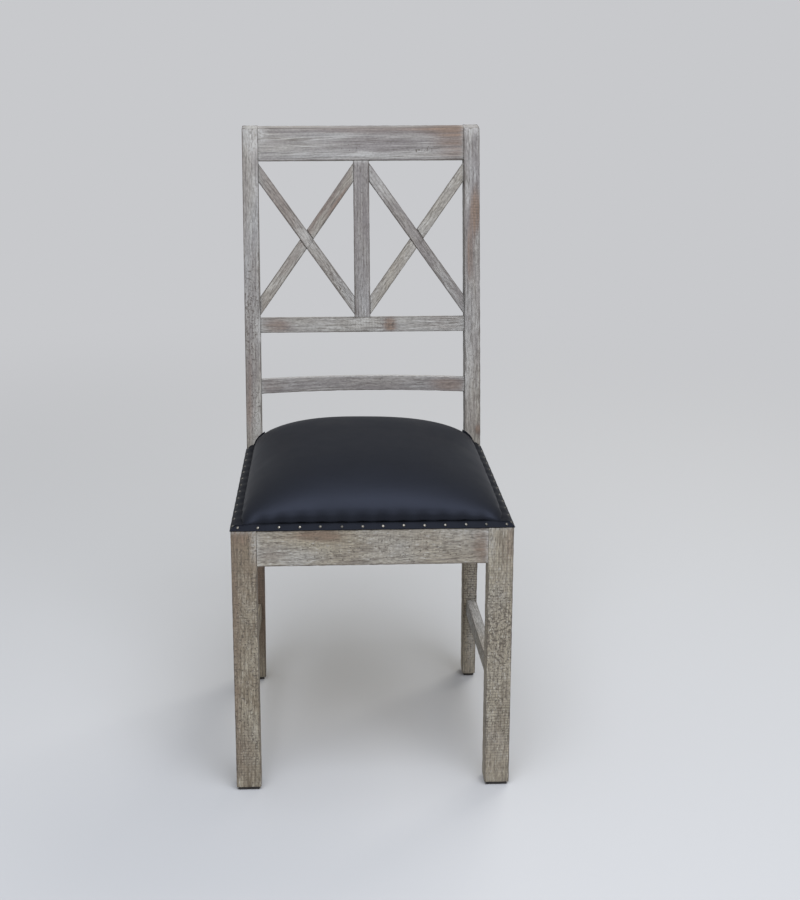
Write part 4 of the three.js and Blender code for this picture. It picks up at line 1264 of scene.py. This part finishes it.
FOLD_THICKNESS = 3.2
FOLD_HEIGHT = 16.0
FOLD_ROUND = 1.4
FOLD_END = 1.2  # rounding of its ends
FOLD_REACH = 5.0  # how far it runs past the post's inner side
FOLD_OVER = 2.0  # and past the pad's side
FOLD_RISES = {"left": 0.5, "right": 2.0}  # how far it stands above the padding


def post_fold(name, side, rise):
    """The leather's edge turned up against a post: a thick lip carried across the post's face.

    Its section is a rounded rectangle whose top follows the padding's height at the post.
    """
    point_step, ring_step = 3.0, 2.0
    corners = rectangle(-FOLD_HEIGHT, 0, 0, FOLD_THICKNESS)
    outline, outward, _ = section(corners, FOLD_ROUND, point_step)
    start, end = POST_LOW[0] - FOLD_REACH, side_line(NOTCH_Y) - PAD_SIDE_INSET + FOLD_OVER
    along, inset, share = rings_along(end - start, ring_step, (FOLD_END, FOLD_END))
    s, flat, quads, fans = swept(outline, along, share, outward * inset[:, None, None])
    x = side * (start + s)
    y = POST_FRONT - FIT - flat[:, 1]
    z = PAD_BOTTOM + PAD_HEM + pad_dome(x, np.full(len(x), NOTCH_Y), PAD_RISE) + rise + flat[:, 0]
    points = np.column_stack([x, y, np.maximum(z, PAD_BOTTOM)])
    new_piece(name, points, quads, fans, STRIP_LEATHER)


foam_block()
padded_seat()
for hand, side in SIDES.items():
    post_fold("seat_fold_" + hand, side, FOLD_RISES[hand])


# Pieces that keep their CAD shape

PLAIN_FINISHES = {"seat_board": PLYWOOD, "corner_block": RAW_WOOD, "screw": ZINC}
for node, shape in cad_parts.items():
    for words, finish in PLAIN_FINISHES.items():
        if words in node:
            shape.data.materials.clear()
            shape.data.materials.append(finish)


# Floor, light and camera

BACKDROP = "#c8c9cc"


def studio_floor():
    """A level floor that keeps the chair's shadow near it and shows one even pale tone further off."""
    half = 40.0
    mesh = bpy.data.meshes.new("floor")
    corners = [(x, y, 0) for x, y in rectangle(-half, half, -half, half)]
    mesh.from_pydata(corners, [], [(0, 1, 2, 3)])
    material, make = new_material("pale_studio_floor")
    place = make("TexCoord", out="Object")
    distance = make("VectorMath", (place,), out="Value", operation="LENGTH")
    shadow, even_tone = 0.7, 3.0  # metres from the chair
    far = make("MapRange", {
        "Value": distance, "From Min": shadow, "From Max": even_tone,
    }, interpolation_type="SMOOTHSTEP")
    camera_ray = make("LightPath", out="Is Camera Ray")
    glossy_ray = make("LightPath", out="Is Glossy Ray")
    seen = make("MAXIMUM", (camera_ray, glossy_ray))
    share = make("MULTIPLY", (seen, far))
    paint = make("BsdfDiffuse", {"Color": linear("#b9b9b8")})
    even = make("Emission", {"Color": linear(BACKDROP), "Strength": 1.0})
    shader = make("MixShader", (share, paint, even))
    make("OutputMaterial", {"Surface": shader})
    mesh.materials.append(material)
    floor = bpy.data.objects.new("floor", mesh)
    bpy.context.scene.collection.objects.link(floor)


def softbox(name, place, target, size, power, code, mirrored=True):
    """A square lamp at a place, facing a target, all in metres; mirrored lamps show in gloss."""
    lamp = bpy.data.lights.new(name, "AREA")
    lamp.shape = "SQUARE"
    lamp.size = size
    lamp.energy = power
    lamp.color = linear(code)[:3]
    holder = bpy.data.objects.new(name, lamp)
    holder.location = place
    holder.visible_glossy = mirrored
    direction = Vector(target) - Vector(place)
    holder.rotation_euler = direction.to_track_quat("-Z", "Y").to_euler()
    bpy.context.scene.collection.objects.link(holder)


studio_floor()
softbox("front_light", (0.2, -2.2, 3.2), (0.0, 0.0, 0.5), 3.4, 152.0, "#eef3ff")
softbox("overhead_light", (0.0, -0.6, 3.4), (0.0, 0.0, 0.5), 2.4, 26.0, "#eef3ff")
softbox("back_light", (1.6, 2.6, 3.0), (0.0, 0.0, 0.6), 2.0, 75.0, "#f4f2ee", False)
world = bpy.data.worlds.new("studio")
world.use_nodes = True
world.node_tree.nodes.clear()
make = functools.partial(add, world.node_tree)
ambient = make("Background", {"Color": linear("#e9ebee"), "Strength": 0.5})
backdrop = make("Background", {"Color": linear(BACKDROP), "Strength": 1.0})
seen = make("LightPath", out="Is Camera Ray")
surround = make("MixShader", (seen, ambient, backdrop))
make("OutputWorld", {"Surface": surround})
bpy.context.scene.world = world
bpy.context.scene.view_settings.view_transform = "Standard"

# Camera fitted to the photograph's edges of the chair
CAMERA_PLACE = (-0.1067, -3.1436, 1.5073)
CAMERA_YAW, CAMERA_PITCH, CAMERA_ROLL = -2.99, -17.83, 0.17
CAMERA_LENS = 77.04
camera = bpy.data.cameras.new("camera")
camera.lens = CAMERA_LENS
eye = bpy.data.objects.new("camera", camera)
eye.matrix_world = (
    Matrix.Translation(CAMERA_PLACE)
    @ Matrix.Rotation(math.radians(CAMERA_YAW), 4, "Z")
    @ Matrix.Rotation(math.radians(90 + CAMERA_PITCH), 4, "X")
    @ Matrix.Rotation(math.radians(CAMERA_ROLL), 4, "Z"))
bpy.context.scene.collection.objects.link(eye)
bpy.context.scene.camera = eye
